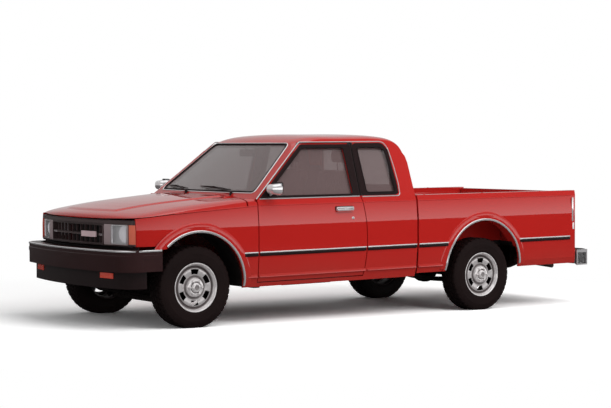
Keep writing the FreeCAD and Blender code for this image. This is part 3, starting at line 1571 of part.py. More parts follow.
def body_nodes():
    fender_left = fender()
    door_left = door().fuse(door_handle())
    side = bed_side()
    glass = door_glass()
    mirror_left = mirror(door_left)
    dash = dashboard()
    return {
        "cab_shell": cab_shell(), "roof_panel": roof_panel(), "cowl_panel": cowl_panel(),
        "windscreen": windscreen(),
        "rear_window": back_glass(), "quarter_windows": both_sides(quarter_glass()), "dashboard": dash,
        "seats": seats(), "steering_column": steering_column(dash), "steering_wheel": steering_wheel(),
        "fender_left": fender_left, "fender_right": mirrored(fender_left), "engine_bay": engine_bay(),
        "radiator": radiator(), "hood": hood(), "grille_panel": grille_panel([fender_left,
                                                                              mirrored(fender_left)]),
        "headlamps": headlamps(), "marker_lamps": marker_lamps(fender_left),
        "front_bumper": front_bumper(),
        "front_valance": front_valance(), "turn_lamps": turn_lamps(), "engine_block": engine_block(),
        "driveshaft": driveshaft(), "load_bed": load_bed(), "bed_side_left": side,
        "bed_side_right": mirrored(side),
        "tail_lamps": tail_lamps(), "tailgate": tailgate(), "rear_bumper": rear_bumper(),
        "frame": frame(),
        "fuel_tank": fuel_tank(), "exhaust": exhaust(), "spare_wheel": spare_wheel(),
        "leaf_springs": leaf_springs(), "door_left": door_left, "door_right": mirrored(door_left),
        "door_glass_left": glass, "door_glass_right": mirrored(glass), "mirror_left": mirror_left,
        "mirror_right": mirrored(mirror_left),
    }


def running_nodes():
    nodes = {
        "front_suspension": front_suspension(), "knuckle_left": knuckle(),
        "knuckle_right": mirrored(knuckle()),
        "rear_axle": rear_axle(),
    }
    for end, y in (("front", 0), ("rear", wheelbase)):
        rim = wheel(y)
        rubber = tyre(y)
        nodes["wheel_" + end + "_left"] = rim
        nodes["wheel_" + end + "_right"] = mirrored(rim)
        nodes["tyre_" + end + "_left"] = rubber
        nodes["tyre_" + end + "_right"] = mirrored(rubber)
    return nodes


def save(name, shape):
    shape.exportStep("parts/" + name + ".step")
    print(name, len(shape.Solids), shape.isValid())


os.makedirs("parts", exist_ok=True)
for name, shape in body_nodes().items():
    save(name, settle(shape))
for name, shape in running_nodes().items():
    save(name, stand(shape))
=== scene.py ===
import bpy
import math
from mathutils import Matrix, Vector


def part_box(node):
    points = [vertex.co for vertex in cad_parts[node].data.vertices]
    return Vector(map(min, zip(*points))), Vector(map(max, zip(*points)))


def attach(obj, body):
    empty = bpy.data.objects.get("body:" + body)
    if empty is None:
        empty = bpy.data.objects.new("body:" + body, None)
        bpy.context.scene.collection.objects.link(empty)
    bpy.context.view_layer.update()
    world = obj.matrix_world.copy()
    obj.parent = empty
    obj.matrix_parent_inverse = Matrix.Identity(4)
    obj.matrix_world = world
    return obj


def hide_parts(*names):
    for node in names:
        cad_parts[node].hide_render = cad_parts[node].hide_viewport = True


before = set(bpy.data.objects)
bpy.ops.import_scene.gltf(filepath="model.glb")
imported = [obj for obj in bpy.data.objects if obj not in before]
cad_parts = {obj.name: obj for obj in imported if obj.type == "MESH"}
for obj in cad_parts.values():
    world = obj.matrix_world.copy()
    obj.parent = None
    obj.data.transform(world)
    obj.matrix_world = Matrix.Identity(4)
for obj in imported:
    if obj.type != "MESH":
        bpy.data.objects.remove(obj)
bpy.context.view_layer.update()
print("frame loaded")

# The level body: y runs back from the front axle and z up from the ground, in metres.
truck = {
    "rake": math.radians(0.97), "middle": 1.76917, "wheelbase": 2.985, "halfWidth": 0.832, "beltZ": 0.989,
    "halfBelt": 0.800, "sideLean": 0.3702, "archZ": 0.316, "frontArchY": 0.005, "rearArchY": 2.983,
    "axleZ": 0.315, "wheelX": 0.6975,
}


# Working on one object at a time

def pickOnly(piece):
    if bpy.context.object and bpy.context.object.mode != "OBJECT":
        bpy.ops.object.mode_set(mode="OBJECT")
    bpy.ops.object.select_all(action="DESELECT")
    piece.select_set(True)
    bpy.context.view_layer.objects.active = piece


def applyPlace(piece):
    pickOnly(piece)
    bpy.ops.object.transform_apply(location=True, rotation=True, scale=True)


# Runs edit-mode work on the faces that a test of centre and normal picks.
def workFaces(piece, test, work):
    pickOnly(piece)
    bpy.ops.object.mode_set(mode="EDIT")
    bpy.ops.mesh.select_mode(type="FACE")
    bpy.ops.mesh.select_all(action="DESELECT")
    bpy.ops.object.mode_set(mode="OBJECT")
    for side in piece.data.polygons:
        side.select = test(side.center, side.normal)
    bpy.ops.object.mode_set(mode="EDIT")
    work()
    bpy.ops.object.mode_set(mode="OBJECT")


# Runs edit-mode work on the points that a test of their place picks.
def workPoints(piece, test, work):
    pickOnly(piece)
    bpy.ops.object.mode_set(mode="EDIT")
    bpy.ops.mesh.select_mode(type="VERT")
    bpy.ops.mesh.select_all(action="DESELECT")
    bpy.ops.object.mode_set(mode="OBJECT")
    for point in piece.data.vertices:
        point.select = test(point.co)
    bpy.ops.object.mode_set(mode="EDIT")
    work()
    bpy.ops.object.mode_set(mode="OBJECT")


def outward(piece):
    pickOnly(piece)
    bpy.ops.object.mode_set(mode="EDIT")
    bpy.ops.mesh.select_all(action="SELECT")
    bpy.ops.mesh.remove_doubles(threshold=0.00005)
    bpy.ops.mesh.normals_make_consistent(inside=False)
    bpy.ops.object.mode_set(mode="OBJECT")


def modify(piece, kind, **settings):
    pickOnly(piece)
    modifier = piece.modifiers.new(kind.title(), kind)
    for key, value in settings.items():
        setattr(modifier, key, value)
    bpy.ops.object.modifier_apply(modifier=modifier.name)


def softEdges(piece, width, segments=2):
    modify(piece, "BEVEL", width=width, segments=segments, limit_method="ANGLE", angle_limit=math.radians(35))


def smooth(piece, degrees=35):
    pickOnly(piece)
    bpy.ops.object.shade_smooth_by_angle(angle=math.radians(degrees))


def addBlock(name, low, high, edge=0.003, segments=2):
    low, high = Vector(low), Vector(high)
    bpy.ops.mesh.primitive_cube_add(size=1, location=(low + high) / 2)
    piece = bpy.context.object
    piece.name = name
    piece.scale = high - low
    applyPlace(piece)
    if edge:
        softEdges(piece, edge, segments)
        smooth(piece)
    return piece


# A round piece between two points whose ends may be bevelled.
def addRod(name, start, end, radius, sides=24, edge=0.0, tip=None):
    start, end = Vector(start), Vector(end)
    run = end - start
    bpy.ops.mesh.primitive_cone_add(vertices=sides, radius1=radius, radius2=radius if tip is None else tip,
                                    depth=run.length, location=(start + end) / 2,
                                    rotation=run.to_track_quat("Z", "Y").to_euler())
    piece = bpy.context.object
    piece.name = name
    applyPlace(piece)
    if edge:
        softEdges(piece, edge)
    smooth(piece)
    return piece


def newCurve(name, flat):
    line = bpy.data.curves.new(name, "CURVE")
    line.dimensions = "2D" if flat else "3D"
    line.fill_mode = "NONE" if flat else "FULL"
    piece = bpy.data.objects.new(name, line)
    bpy.context.scene.collection.objects.link(piece)
    return piece


def addLoop(piece, points, closed, kind="POLY"):
    spline = piece.data.splines.new(kind)
    spline.points.add(len(points) - 1)
    for point, place in zip(spline.points, points):
        point.co = (*place, 1.0) if len(place) == 3 else (*place, 0.0, 1.0)
    spline.use_cyclic_u = closed
    if kind == "NURBS":
        spline.order_u = 3
        spline.use_endpoint_u = not closed
        spline.resolution_u = 8


def toMesh(piece):
    pickOnly(piece)
    bpy.ops.object.convert(target="MESH")
    return bpy.context.object


# A flat strip's cross-section: as wide as given, standing up from its base with softened top corners.
def addSection(width, height):
    half = width / 2
    soft = min(half, height) * 0.45
    section = newCurve("section", True)
    outline = [(-half, 0), (half, 0), (half, height - soft), (half - soft, height), (soft - half, height),
               (-half, height - soft)]
    addLoop(section, outline, True)
    return section


# A strip of flat section along a line drawn in a plane.
def addStrip(name, points, width, height, closed=False):
    section = addSection(width, height)
    piece = newCurve(name, True)
    addLoop(piece, points, closed)
    piece.data.bevel_mode = "OBJECT"
    piece.data.bevel_object = section
    piece.data.use_fill_caps = True
    piece = toMesh(piece)
    bpy.data.objects.remove(section)
    outward(piece)
    smooth(piece, 40)
    return piece


# A round wire or tube along points in space.
def addWire(name, points, radius, closed=False, kind="NURBS", rounds=3):
    piece = newCurve(name, False)
    addLoop(piece, points, closed, kind)
    piece.data.bevel_depth = radius
    piece.data.bevel_resolution = rounds
    piece.data.use_fill_caps = True
    piece = toMesh(piece)
    outward(piece)
    smooth(piece, 60)
    return piece


# A plate cut from outlines drawn in a plane: the first is its edge, the others are its holes.
def addPlate(name, outlines, thickness):
    piece = newCurve(name, True)
    piece.data.fill_mode = "BOTH"
    for outline in outlines:
        addLoop(piece, outline, True)
    piece.data.extrude = thickness / 2
    piece = toMesh(piece)
    outward(piece)
    return piece


def arcPoints(centre, radius, start, end, count):
    turns = [math.radians(start + (end - start) * k / (count - 1)) for k in range(count)]
    return [(centre[0] + radius * math.cos(turn), centre[1] + radius * math.sin(turn)) for turn in turns]


# A closed outline whose corners are rounded.
def roundCorners(points, radius, count=6):
    rounded = []
    for before, corner, after in zip(points[-1:] + points[:-1], points, points[1:] + points[:1]):
        corner = Vector(corner)
        back, ahead = Vector(before) - corner, Vector(after) - corner
        reach = min(radius, back.length * 0.45, ahead.length * 0.45)
        first = corner + back.normalized() * reach
        last = corner + ahead.normalized() * reach
        for k in range(count + 1):
            share = k / count
            place = (1 - share) ** 2 * first + 2 * share * (1 - share) * corner + share ** 2 * last
            rounded.append(tuple(place))
    return rounded


# Adds points along an outline's long edges, so that a bent plate stays smooth.
def spread(points, step):
    dense = []
    for first, last in zip(points, points[1:] + points[:1]):
        count = max(1, int(math.dist(first, last) / step))
        dense += [tuple(a + (b - a) * k / count for a, b in zip(first, last)) for k in range(count)]
    return dense


# Moves a flat piece from its drawing plane to the left side: across is y, up runs along the side's lean.
def layOnSide(piece, x, z, lean, proud=0.0):
    tilt = math.atan(lean)
    along = Vector((0, 1, 0))
    rise = Vector((-math.sin(tilt), 0, math.cos(tilt)))
    out = along.cross(rise)
    turn = Matrix((along, rise, out)).transposed().to_4x4()
    piece.matrix_world = Matrix.Translation(Vector((x, 0, z)) + out * proud) @ turn
    applyPlace(piece)


def layInFront(piece, y):
    piece.matrix_world = Matrix.Translation((0, y, 0)) @ Matrix.Rotation(math.pi / 2, 4, "X")
    applyPlace(piece)


# Tips a piece drawn on the level body by the truck's rake, and moves it to the truck's middle.
def settle(piece):
    piece.rotation_euler = (truck["rake"], 0, 0)
    piece.location = (0, -truck["middle"], 0)
    applyPlace(piece)


def stand(piece):
    piece.location = (0, -truck["middle"], 0)
    applyPlace(piece)


def copyOf(piece, name):
    twin = piece.copy()
    twin.data = piece.data.copy()
    twin.name = name
    bpy.context.scene.collection.objects.link(twin)
    return twin


def otherSide(piece, name):
    twin = copyOf(piece, name)
    twin.scale = (-1, 1, 1)
    applyPlace(twin)
    bpy.ops.object.mode_set(mode="EDIT")
    bpy.ops.mesh.select_all(action="SELECT")
    bpy.ops.mesh.flip_normals()
    bpy.ops.object.mode_set(mode="OBJECT")
    return twin


def join(pieces, name):
    pickOnly(pieces[0])
    for piece in pieces:
        piece.select_set(True)
    bpy.ops.object.join()
    whole = bpy.context.object
    whole.name = name
    return whole


def fit(piece, finish, slot, body="root"):
    piece.data.materials.clear()
    piece.data.materials.append(finish)
    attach(piece, body)
    return piece


# A single body piece, put in its place and fitted.
def fitOne(piece, finish, slot, body="root", put=settle):
    put(piece)
    fit(piece, finish, slot, body)


# A body piece drawn on the left, with its twin on the right where the bodies are a pair.
def fitPair(piece, name, finish, slot, body="root", put=settle):
    put(piece)
    twin = otherSide(piece, name + "Right")
    piece.name = name + "Left"
    sides = ("root", "root") if body == "root" else (body + "_left", body + "_right")
    fit(piece, finish, slot, sides[0])
    fit(twin, finish, slot, sides[1])


makers = {"block": addBlock, "rod": addRod, "wire": addWire}


# Makes a group from its rows: blocks (low, high, edge, segments), rods (start, end, radius, sides, edge, tip)
# and wires (points, radius, closed, kind, rounds).
def build(name, rows):
    parts = [makers[kind](name, *values) for kind, *values in rows]
    return join(parts, name) if len(parts) > 1 else parts[0]


# A row moved by a distance.
def moved(row, x=0.0, y=0.0, z=0.0):
    kind, low, high, *others = row
    shift = Vector((x, y, z))
    return (kind, Vector(low) + shift, Vector(high) + shift, *others)


# Materials

def shade(red, green, blue):
    return tuple(c / 12.92 if c <= 0.04045 else ((c + 0.055) / 1.055) ** 2.4
                 for c in (red / 255, green / 255, blue / 255))


# An output of a node, which sums and products write as plain Python.
class Wire:
    def __init__(self, finish, socket):
        self.finish = finish
        self.socket = socket

    def step(self, operation, first, second):
        return self.finish.add("ShaderNodeMath", {"operation": operation}, {0: first, 1: second})

    def __add__(self, other):
        return self.step("ADD", self, other)

    def __radd__(self, other):
        return self.step("ADD", other, self)

    def __sub__(self, other):
        return self.step("SUBTRACT", self, other)

    def __rsub__(self, other):
        return self.step("SUBTRACT", other, self)

    def __mul__(self, other):
        return self.step("MULTIPLY", self, other)

    def __rmul__(self, other):
        return self.step("MULTIPLY", other, self)

    def __gt__(self, other):
        return self.step("GREATER_THAN", self, other)

    def __lt__(self, other):
        return self.step("LESS_THAN", self, other)


class Finish:
    def __init__(self, name, owner=None):
        self.material = owner or bpy.data.materials.new(name)
        self.material.use_nodes = True
        self.nodes = self.material.node_tree.nodes
        self.links = self.material.node_tree.links
        self.nodes.clear()

    def add(self, kind, settings=None, values=None, out=0):
        node = self.nodes.new(kind)
        for key, value in (settings or {}).items():
            if key == "stops":
                while len(node.color_ramp.elements) < len(value):
                    node.color_ramp.elements.new(0.5)
                for stop, (place, level) in zip(node.color_ramp.elements, value):
                    stop.position = place
                    stop.color = (level, level, level, 1)
            else:
                setattr(node, key, value)
        for key, value in (values or {}).items():
            socket = node.inputs[key]
            if isinstance(value, Wire):
                self.links.new(value.socket, socket)
            elif socket.type == "RGBA":
                socket.default_value = (*value, 1)
            else:
                socket.default_value = value
        return Wire(self, node.outputs[out]) if node.outputs else None

    def most(self, first, second):
        return self.add("ShaderNodeMath", {"operation": "MAXIMUM"}, {0: first, 1: second})

    def size(self, value):
        return self.add("ShaderNodeMath", {"operation": "ABSOLUTE"}, {0: value})

    def ranged(self, value, low, high, first=0.0, last=1.0):
        return self.add("ShaderNodeMapRange", {}, {"Value": value, "From Min": low, "From Max": high,
                                                   "To Min": first, "To Max": last})

    def place(self):
        return self.add("ShaderNodeTexCoord", out=3)

    def axis(self, out):
        return self.add("ShaderNodeSeparateXYZ", {}, {0: self.place()}, out)

    def noise(self, scale, detail=3.0, stretch=(1, 1, 1)):
        spread = self.add("ShaderNodeMapping", {}, {"Vector": self.place(), "Scale": stretch})
        return self.add("ShaderNodeTexNoise", {}, {"Vector": spread, "Scale": scale, "Detail": detail})

    def ramp(self, value, stops):
        return self.add("ShaderNodeValToRGB", {"stops": stops}, {0: value})

    def mix(self, mask, first, second):
        return self.add("ShaderNodeMix", {"data_type": "RGBA"}, {0: mask, 6: first, 7: second}, 2)

    def bump(self, height, strength, distance):
        return self.add("ShaderNodeBump", {}, {"Height": height, "Strength": strength, "Distance": distance})

    def close(self, **values):
        named = {key.replace("_", " "): value for key, value in values.items()}
        surface = self.add("ShaderNodeBsdfPrincipled", {}, named)
        self.add("ShaderNodeOutputMaterial", {}, {"Surface": surface})
        return self.material


# Rings on the wheels; "middle" is halfway between the axles.
wheelRings = {
    "middle": truck["middle"] - truck["wheelbase"] / 2,
    # How dark each ring of the wheel is painted, by distance from the axle: painted shade in the grooves and
    # recesses.
    "paintedShade": [(0.0, 0.75), (0.020, 0.75), (0.024, 0.0), (0.074, 0.05), (0.078, 0.85), (0.093, 0.85),
               (0.098, 0.30), (0.148, 0.35), (0.152, 0.95), (0.170, 0.95), (0.176, 0.0)],
    "back": 0.735,
}


# The height and the distance back on the level body, before its rake.
def bodyHeight(finish):
    return finish.axis(2) - (finish.axis(1) + truck["middle"]) * math.tan(truck["rake"])


def bodyAlong(finish):
    return finish.axis(1) + finish.axis(2) * math.tan(truck["rake"]) + truck["middle"]


# How far a place is from the nearest axle's line.
def axleReach(finish):
    along = finish.size(finish.axis(1) + wheelRings["middle"]) - truck["wheelbase"] / 2
    rise = finish.axis(2) - truck["axleZ"]
    return finish.add("ShaderNodeMath", {"operation": "SQRT"}, {0: along * along + rise * rise})


cabin = {"side": 0.768, "belt": 0.989, "lean": 0.3702, "front": 0.668, "rear": 2.185,
         "screenZ": 1.045, "screenLean": 1.164, "backZ": 1.200, "backLean": 0.45, "floor": 0.40, "top": 1.452,
         "trim": shade(74, 62, 60)}


# A mask of what lies inside the cab's walls, where the metal is covered with grey trim.
def insideCab(finish):
    along, height = bodyAlong(finish), bodyHeight(finish)
    lean, aft, tapered = (finish.most(height - cabin[start], 0.0) * cabin[rate] for start, rate in (
        ("belt", "lean"), ("screenZ", "screenLean"), ("backZ", "backLean")))
    walls = finish.size(finish.axis(0)) + lean < cabin["side"]
    ends = (along - aft > cabin["front"]) * (along + tapered < cabin["rear"])
    return walls * ends * (height > cabin["floor"]) * (height < cabin["top"])


pillar = {"from": 1.605, "to": 1.662, "low": 0.993, "high": 1.436}
well = {"reach": 0.505, "inner": 0.560, "side": 0.790, "rearTop": 0.600, "coat": shade(17, 8, 8)}
crown = {"low": 0.777, "high": 0.940, "height": 0.0026}


# A mask of the wheel wells' inner walls, which carry a black coat.
def insideWell(finish):
    across = finish.size(finish.axis(0))
    ahead = finish.axis(1) + wheelRings["middle"] < 0.0
    under = finish.most(ahead, finish.axis(2) < well["rearTop"])
    return (across > well["inner"]) * (across < well["side"]) * (axleReach(finish) < well["reach"]) * under


# A mask of the post between the side windows, which is blacked out.
def onPillar(finish):
    along, height = bodyAlong(finish), bodyHeight(finish)
    within = (along > pillar["from"]) * (along < pillar["to"])
    return within * (height > pillar["low"]) * (height < pillar["high"])


paint = {
    "grimeLow": 0.25, "grimeHigh": 0.62, "grime": shade(112, 82, 70), "cloud": 1.7, "fleck": 900,
    "flecks": 0.10, "darker": 0.72, "peel": 260, "peelHeight": 0.005, "gloss": 0.04, "duller": 0.65,
    "index": 1.6,
}


def paintFinish(name, colour, dust):
    finish = Finish(name)
    low = finish.ramp(finish.axis(2), [(paint["grimeLow"], 1.0), (paint["grimeHigh"], 0.0)])
    grime = low * finish.noise(paint["cloud"], 4) * dust
    flecks = finish.noise(paint["fleck"], 1) * paint["flecks"]
    base = finish.mix(flecks, colour, tuple(c * paint["darker"] for c in colour))
    base = finish.mix(grime, base, paint["grime"])
    trimmed, coated, black = insideCab(finish), insideWell(finish), onPillar(finish)
    base = finish.mix(coated, finish.mix(trimmed, base, cabin["trim"]), well["coat"])
    base = finish.mix(black, base, colours["black"])
    dull = finish.most(finish.most(trimmed, grime), coated + black)
    share = finish.ranged(bodyHeight(finish), crown["low"], crown["high"])
    swell = share * (share * -4.0 + 4.0) + finish.noise(paint["peel"], 2) * paint["peelHeight"]
    roughness = dull * paint["duller"] + paint["gloss"]
    return finish.close(Base_Color=base, Roughness=roughness, IOR=paint["index"],
                        Normal=finish.bump(swell, 1.0, crown["height"]))


def metalFinish(name, colour, roughness, wear, grain=60.0, bump=0.05, metallic=1.0):
    finish = Finish(name)
    patch = finish.noise(9, 5)
    fine = finish.noise(grain, 4)
    base = finish.mix(patch * wear, colour, tuple(c * 0.45 for c in colour))
    return finish.close(Base_Color=base, Metallic=metallic, Roughness=fine * roughness + roughness * 0.5,
                        Normal=finish.bump(fine, bump, 0.0008))


# Polished wheel metal, darkened with painted shade in its grooves and recesses and on its back.
def wheelFinish(name, colour, shadeColour):
    finish = Finish(name)
    behind = finish.size(finish.axis(0)) < wheelRings["back"]
    paintedShade = finish.most(finish.ramp(axleReach(finish), wheelRings["paintedShade"]), behind)
    worn = finish.noise(14, 4) * 0.25
    base = finish.mix(paintedShade, finish.mix(worn, colour, tuple(c * 0.5 for c in colour)), shadeColour)
    return finish.close(Base_Color=base, Metallic=0.42, Roughness=paintedShade * 0.35 + worn * 0.3 + 0.07)


def plasticFinish(name, colour, roughness, grain, strength, coat=0.0):
    finish = Finish(name)
    fine = finish.noise(grain, 3)
    patch = finish.noise(5, 3)
    base = finish.mix(patch * 0.5, colour, tuple(min(1, c * 1.5 + 0.001) for c in colour))
    relief = finish.bump(fine, strength, 0.0006)
    return finish.close(Base_Color=base, Roughness=patch * 0.12 + roughness, Coat_Weight=coat,
                        Coat_Roughness=0.08, Specular_IOR_Level=0.25, Normal=relief)


def rubberFinish(name, colour):
    finish = Finish(name)
    fine = finish.noise(320, 3)
    dust = finish.noise(6, 4)
    base = finish.mix(dust * 0.25, colour, shade(54, 40, 39))
    return finish.close(Base_Color=base, Roughness=dust * 0.2 + 0.62, Specular_IOR_Level=0.2,
                        Normal=finish.bump(fine, 0.12, 0.0006))


def glassFinish(name, colour, alpha, roughness=0.02):
    finish = Finish(name)
    film = finish.noise(3, 3)
    return finish.close(Base_Color=colour, Roughness=film * 0.03 + roughness, Alpha=film * 0.04 + alpha,
                        Coat_Weight=1.0, Coat_Roughness=0.01)


# A moulded lens: upright flutes pressed in its back show through it. A painted glow can be added: painted
# light on a lens whose lamp is not lit.
def lensFinish(name, colour, fluteScale, alpha, paintedGlow=0.0):
    finish = Finish(name)
    flutes = finish.add("ShaderNodeTexWave", {"bands_direction": "X"},
                        {"Vector": finish.place(), "Scale": fluteScale, "Distortion": 0.0})
    rows = finish.add("ShaderNodeTexWave", {"bands_direction": "Z"},
                      {"Vector": finish.place(), "Scale": fluteScale * 0.6, "Distortion": 0.0})
    pattern = flutes * 0.7 + rows * 0.3
    base = finish.mix(pattern * 0.5, colour, tuple(min(1, c * 1.6 + 0.02) for c in colour))
    return finish.close(Base_Color=base, Roughness=0.08, Alpha=alpha, Coat_Weight=1.0, Coat_Roughness=0.02,
                        Normal=finish.bump(pattern, 0.5, 0.002), Emission_Color=base, Emission_Strength=paintedGlow)


# Woven cloth: crossed threads with a soft nap.
def clothFinish(name, colour, threads):
    finish = Finish(name)
    warp = finish.add("ShaderNodeTexWave", {"bands_direction": "X"},
                      {"Vector": finish.place(), "Scale": threads, "Distortion": 1.0})
    weft = finish.add("ShaderNodeTexWave", {"bands_direction": "Z"},
                      {"Vector": finish.place(), "Scale": threads, "Distortion": 1.0})
    weave = warp * 0.5 + weft * 0.5
    patch = finish.noise(12, 4)
    base = finish.mix(weave * 0.4 + patch * 0.3, colour, tuple(c * 0.5 for c in colour))
    return finish.close(Base_Color=base, Roughness=0.92, Sheen_Weight=0.4,
                        Normal=finish.bump(weave, 0.35, 0.0008))


colours = {
    "red": (0.465, 0.0165, 0.0135), "chrome": (0.86, 0.84, 0.85), "black": shade(24, 10, 11),
    "seat": shade(128, 112, 108), "dash": shade(92, 80, 78),
}
redPaint = paintFinish("redPaint", colours["red"], 0.35)
# The engine bay's paint is the body red darkened to 12 percent: painted shade for the dark bay behind the
# grille.
shadedInnerPaint = paintFinish("shadedInnerPaint", tuple(c * 0.12 for c in colours["red"]), 0.3)
chrome = metalFinish("chrome", colours["chrome"], 0.05, 0.12, 30, 0.01, 0.62)
bumperBlack = plasticFinish("bumperBlack", shade(40, 15, 16), 0.30, 240, 0.05, 0.12)
trimBlack = plasticFinish("trimBlack", colours["black"], 0.42, 380, 0.15)
darkTrim = plasticFinish("darkTrim", shade(74, 60, 60), 0.35, 300, 0.08, 0.2)
silverTrim = metalFinish("silverTrim", shade(196, 188, 190), 0.28, 0.15, 200, 0.03)
# The headlamp bowls glow: a painted highlight standing in for the bright reflector.
lampWhite = lensFinish("lampWhite", shade(236, 232, 238), 60, 1.0, 0.30)
lampGrey = plasticFinish("lampGrey", shade(158, 140, 142), 0.35, 200, 0.04, 0.4)
paleTrim = plasticFinish("paleTrim", shade(214, 186, 190), 0.35, 300, 0.04, 0.4)
# The wheels' second colour is the painted shade in their grooves, recesses and back.
wheelMetal = wheelFinish("wheelMetal", (0.94, 0.90, 0.90), (0.07, 0.05, 0.05))
mirrorFinish = metalFinish("mirrorFinish", (0.75, 0.77, 0.80), 0.02, 0.05, 30, 0.0)
dashPlastic = plasticFinish("dashPlastic", colours["dash"], 0.6, 500, 0.35)
steelBlack = metalFinish("steelBlack", shade(52, 46, 45), 0.75, 0.6, 40, 0.25)
castMetal = metalFinish("castMetal", shade(120, 114, 110), 0.65, 0.5, 90, 0.5)
radiatorMetal = metalFinish("radiatorMetal", shade(60, 58, 58), 0.5, 0.4, 200, 0.4)
tankSteel = metalFinish("tankSteel", shade(70, 66, 66), 0.55, 0.5, 50, 0.2)
exhaustSteel = metalFinish("exhaustSteel", shade(112, 100, 94), 0.55, 0.8, 60, 0.2)
tyreRubber = rubberFinish("tyreRubber", shade(19, 9, 9))
sealRubber = rubberFinish("sealRubber", shade(16, 12, 13))
windowGlass = glassFinish("windowGlass", shade(122, 102, 102), 0.52)
clearLens = lensFinish("clearLens", shade(226, 224, 228), 70, 0.45)
# The amber and orange lenses glow faintly: painted light, as these lamps are not lit.
amberLens = lensFinish("amberLens", shade(240, 110, 82), 90, 0.92, 0.08)
orangeLens = lensFinish("orangeLens", shade(214, 74, 56), 120, 0.95, 0.05)
redLens = lensFinish("redLens", shade(176, 22, 20), 90, 0.93)
whiteLens = lensFinish("whiteLens", shade(236, 232, 232), 90, 0.9)
seatCloth = clothFinish("seatCloth", colours["seat"], 260)

nodeFinishes = {
    redPaint: ["cab_shell", "roof_panel", "cowl_panel", "fender_left", "fender_right", "hood", "load_bed",
               "bed_side_left", "bed_side_right", "tailgate", "door_left", "door_right"],
    shadedInnerPaint: ["engine_bay"],
    windowGlass: ["windscreen", "rear_window", "quarter_windows", "door_glass_left", "door_glass_right"],
    darkTrim: ["grille_panel"],
    clearLens: ["headlamps"],
    amberLens: ["marker_lamps"],
    orangeLens: ["turn_lamps"],
    redLens: ["tail_lamps"],
    bumperBlack: ["front_bumper"],
    trimBlack: ["front_valance", "steering_column", "steering_wheel"],
    chrome: ["rear_bumper", "mirror_left", "mirror_right", "wheel_front_left", "wheel_front_right",
             "wheel_rear_left", "wheel_rear_right"],
    dashPlastic: ["dashboard"],
    seatCloth: ["seats"],
    steelBlack: ["frame", "front_suspension", "rear_axle", "leaf_springs", "knuckle_left", "knuckle_right"],
    castMetal: ["engine_block", "driveshaft"],
    radiatorMetal: ["radiator"],
    tankSteel: ["fuel_tank"],
    exhaustSteel: ["exhaust"],
    tyreRubber: ["tyre_front_left", "tyre_front_right", "tyre_rear_left", "tyre_rear_right", "spare_wheel"],
}
for material, names in nodeFinishes.items():
    for name in names:
        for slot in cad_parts[name].material_slots:
            slot.material = material
print("materials made")


# Camera, floor and light

view = {"place": (11.5317, -8.556, 1.3405), "yaw": 36.0956, "pitch": -1.6554, "roll": 0.5377, "lens": 96.19}


def addCamera():
    yaw, pitch, roll = (math.radians(view[key]) for key in ("yaw", "pitch", "roll"))
    ahead = Vector((-math.cos(yaw) * math.cos(pitch), math.sin(yaw) * math.cos(pitch), math.sin(pitch)))
    level = ahead.cross(Vector((0, 0, 1))).normalized()
    above = level.cross(ahead)
    right = level * math.cos(roll) + above * math.sin(roll)
    up = above * math.cos(roll) - level * math.sin(roll)
    lens = bpy.data.cameras.new("camera")
    lens.lens = view["lens"]
    lens.sensor_width = 36
    camera = bpy.data.objects.new("camera", lens)
    bpy.context.scene.collection.objects.link(camera)
    turn = Matrix((right, up, -ahead)).transposed().to_4x4()
    camera.matrix_world = Matrix.Translation(view["place"]) @ turn
    bpy.context.scene.camera = camera


stageSizes = {
    "floor": 60.0, "floorColour": 0.50, "floorSeen": 1.45, "reflected": 0.06, "nearEdge": 2.9, "farEdge": 4.6,
    "world": 0.30, "skyBehind": 0.74, "skyEdge": 0.5, "skyLow": 2.2, "skyHigh": 0.22, "skyTop": 0.26,
    "overhead": 1.6, "overFrom": 0.66, "overTo": 0.80, "skyGrey": 0.8,
}
lamps = {
    "sideBox": {"place": (9.0, 4.0, 6.0), "aim": (0.0, 0.0, 0.8), "size": (10.0, 7.0), "power": 640},
    "topBox": {"place": (3.2, -0.2, 7.4), "aim": (0.0, 0.0, 0.0), "size": (6.0, 9.0), "power": 330},
    "frontBox": {"place": (4.0, -12.0, 4.5), "aim": (0.0, -1.0, 0.7), "size": (8.0, 5.0), "power": 230},
    "backBox": {"place": (-6.0, 10.0, 4.5), "aim": (0.0, 0.0, 0.7), "size": (8.0, 5.0), "power": 170},
}


def addFloor():
    bpy.ops.mesh.primitive_plane_add(size=stageSizes["floor"], location=(0, 0, 0))
    floor = bpy.context.object
    floor.name = "floor"
    ground = Finish("ground")
    seen = ground.add("ShaderNodeLightPath", out="Is Camera Ray")
    mirrored = ground.add("ShaderNodeLightPath", out="Is Glossy Ray")
    lit, reflected, shown = ((stageSizes[key],) * 3 for key in ("floorColour", "reflected", "floorSeen"))
    colour = ground.mix(seen, ground.mix(mirrored, lit, reflected), shown)
    base = ground.add("ShaderNodeBsdfDiffuse", {}, {"Color": colour})
    far = ground.add("ShaderNodeVectorMath", {"operation": "LENGTH"}, {0: ground.place()}, 1)
    near, away = (stageSizes[key] / stageSizes["floor"] for key in ("nearEdge", "farEdge"))
    fade = ground.ramp(far * (1 / stageSizes["floor"]), [(near, 0.0), (away, 1.0)])
    bright = ground.add("ShaderNodeEmission", {}, {"Color": (1, 1, 1)})
    whole = ground.add("ShaderNodeMixShader", {}, {0: fade * seen, 1: base, 2: bright})
    ground.add("ShaderNodeOutputMaterial", {}, {"Surface": whole})
    floor.data.materials.append(ground.material)


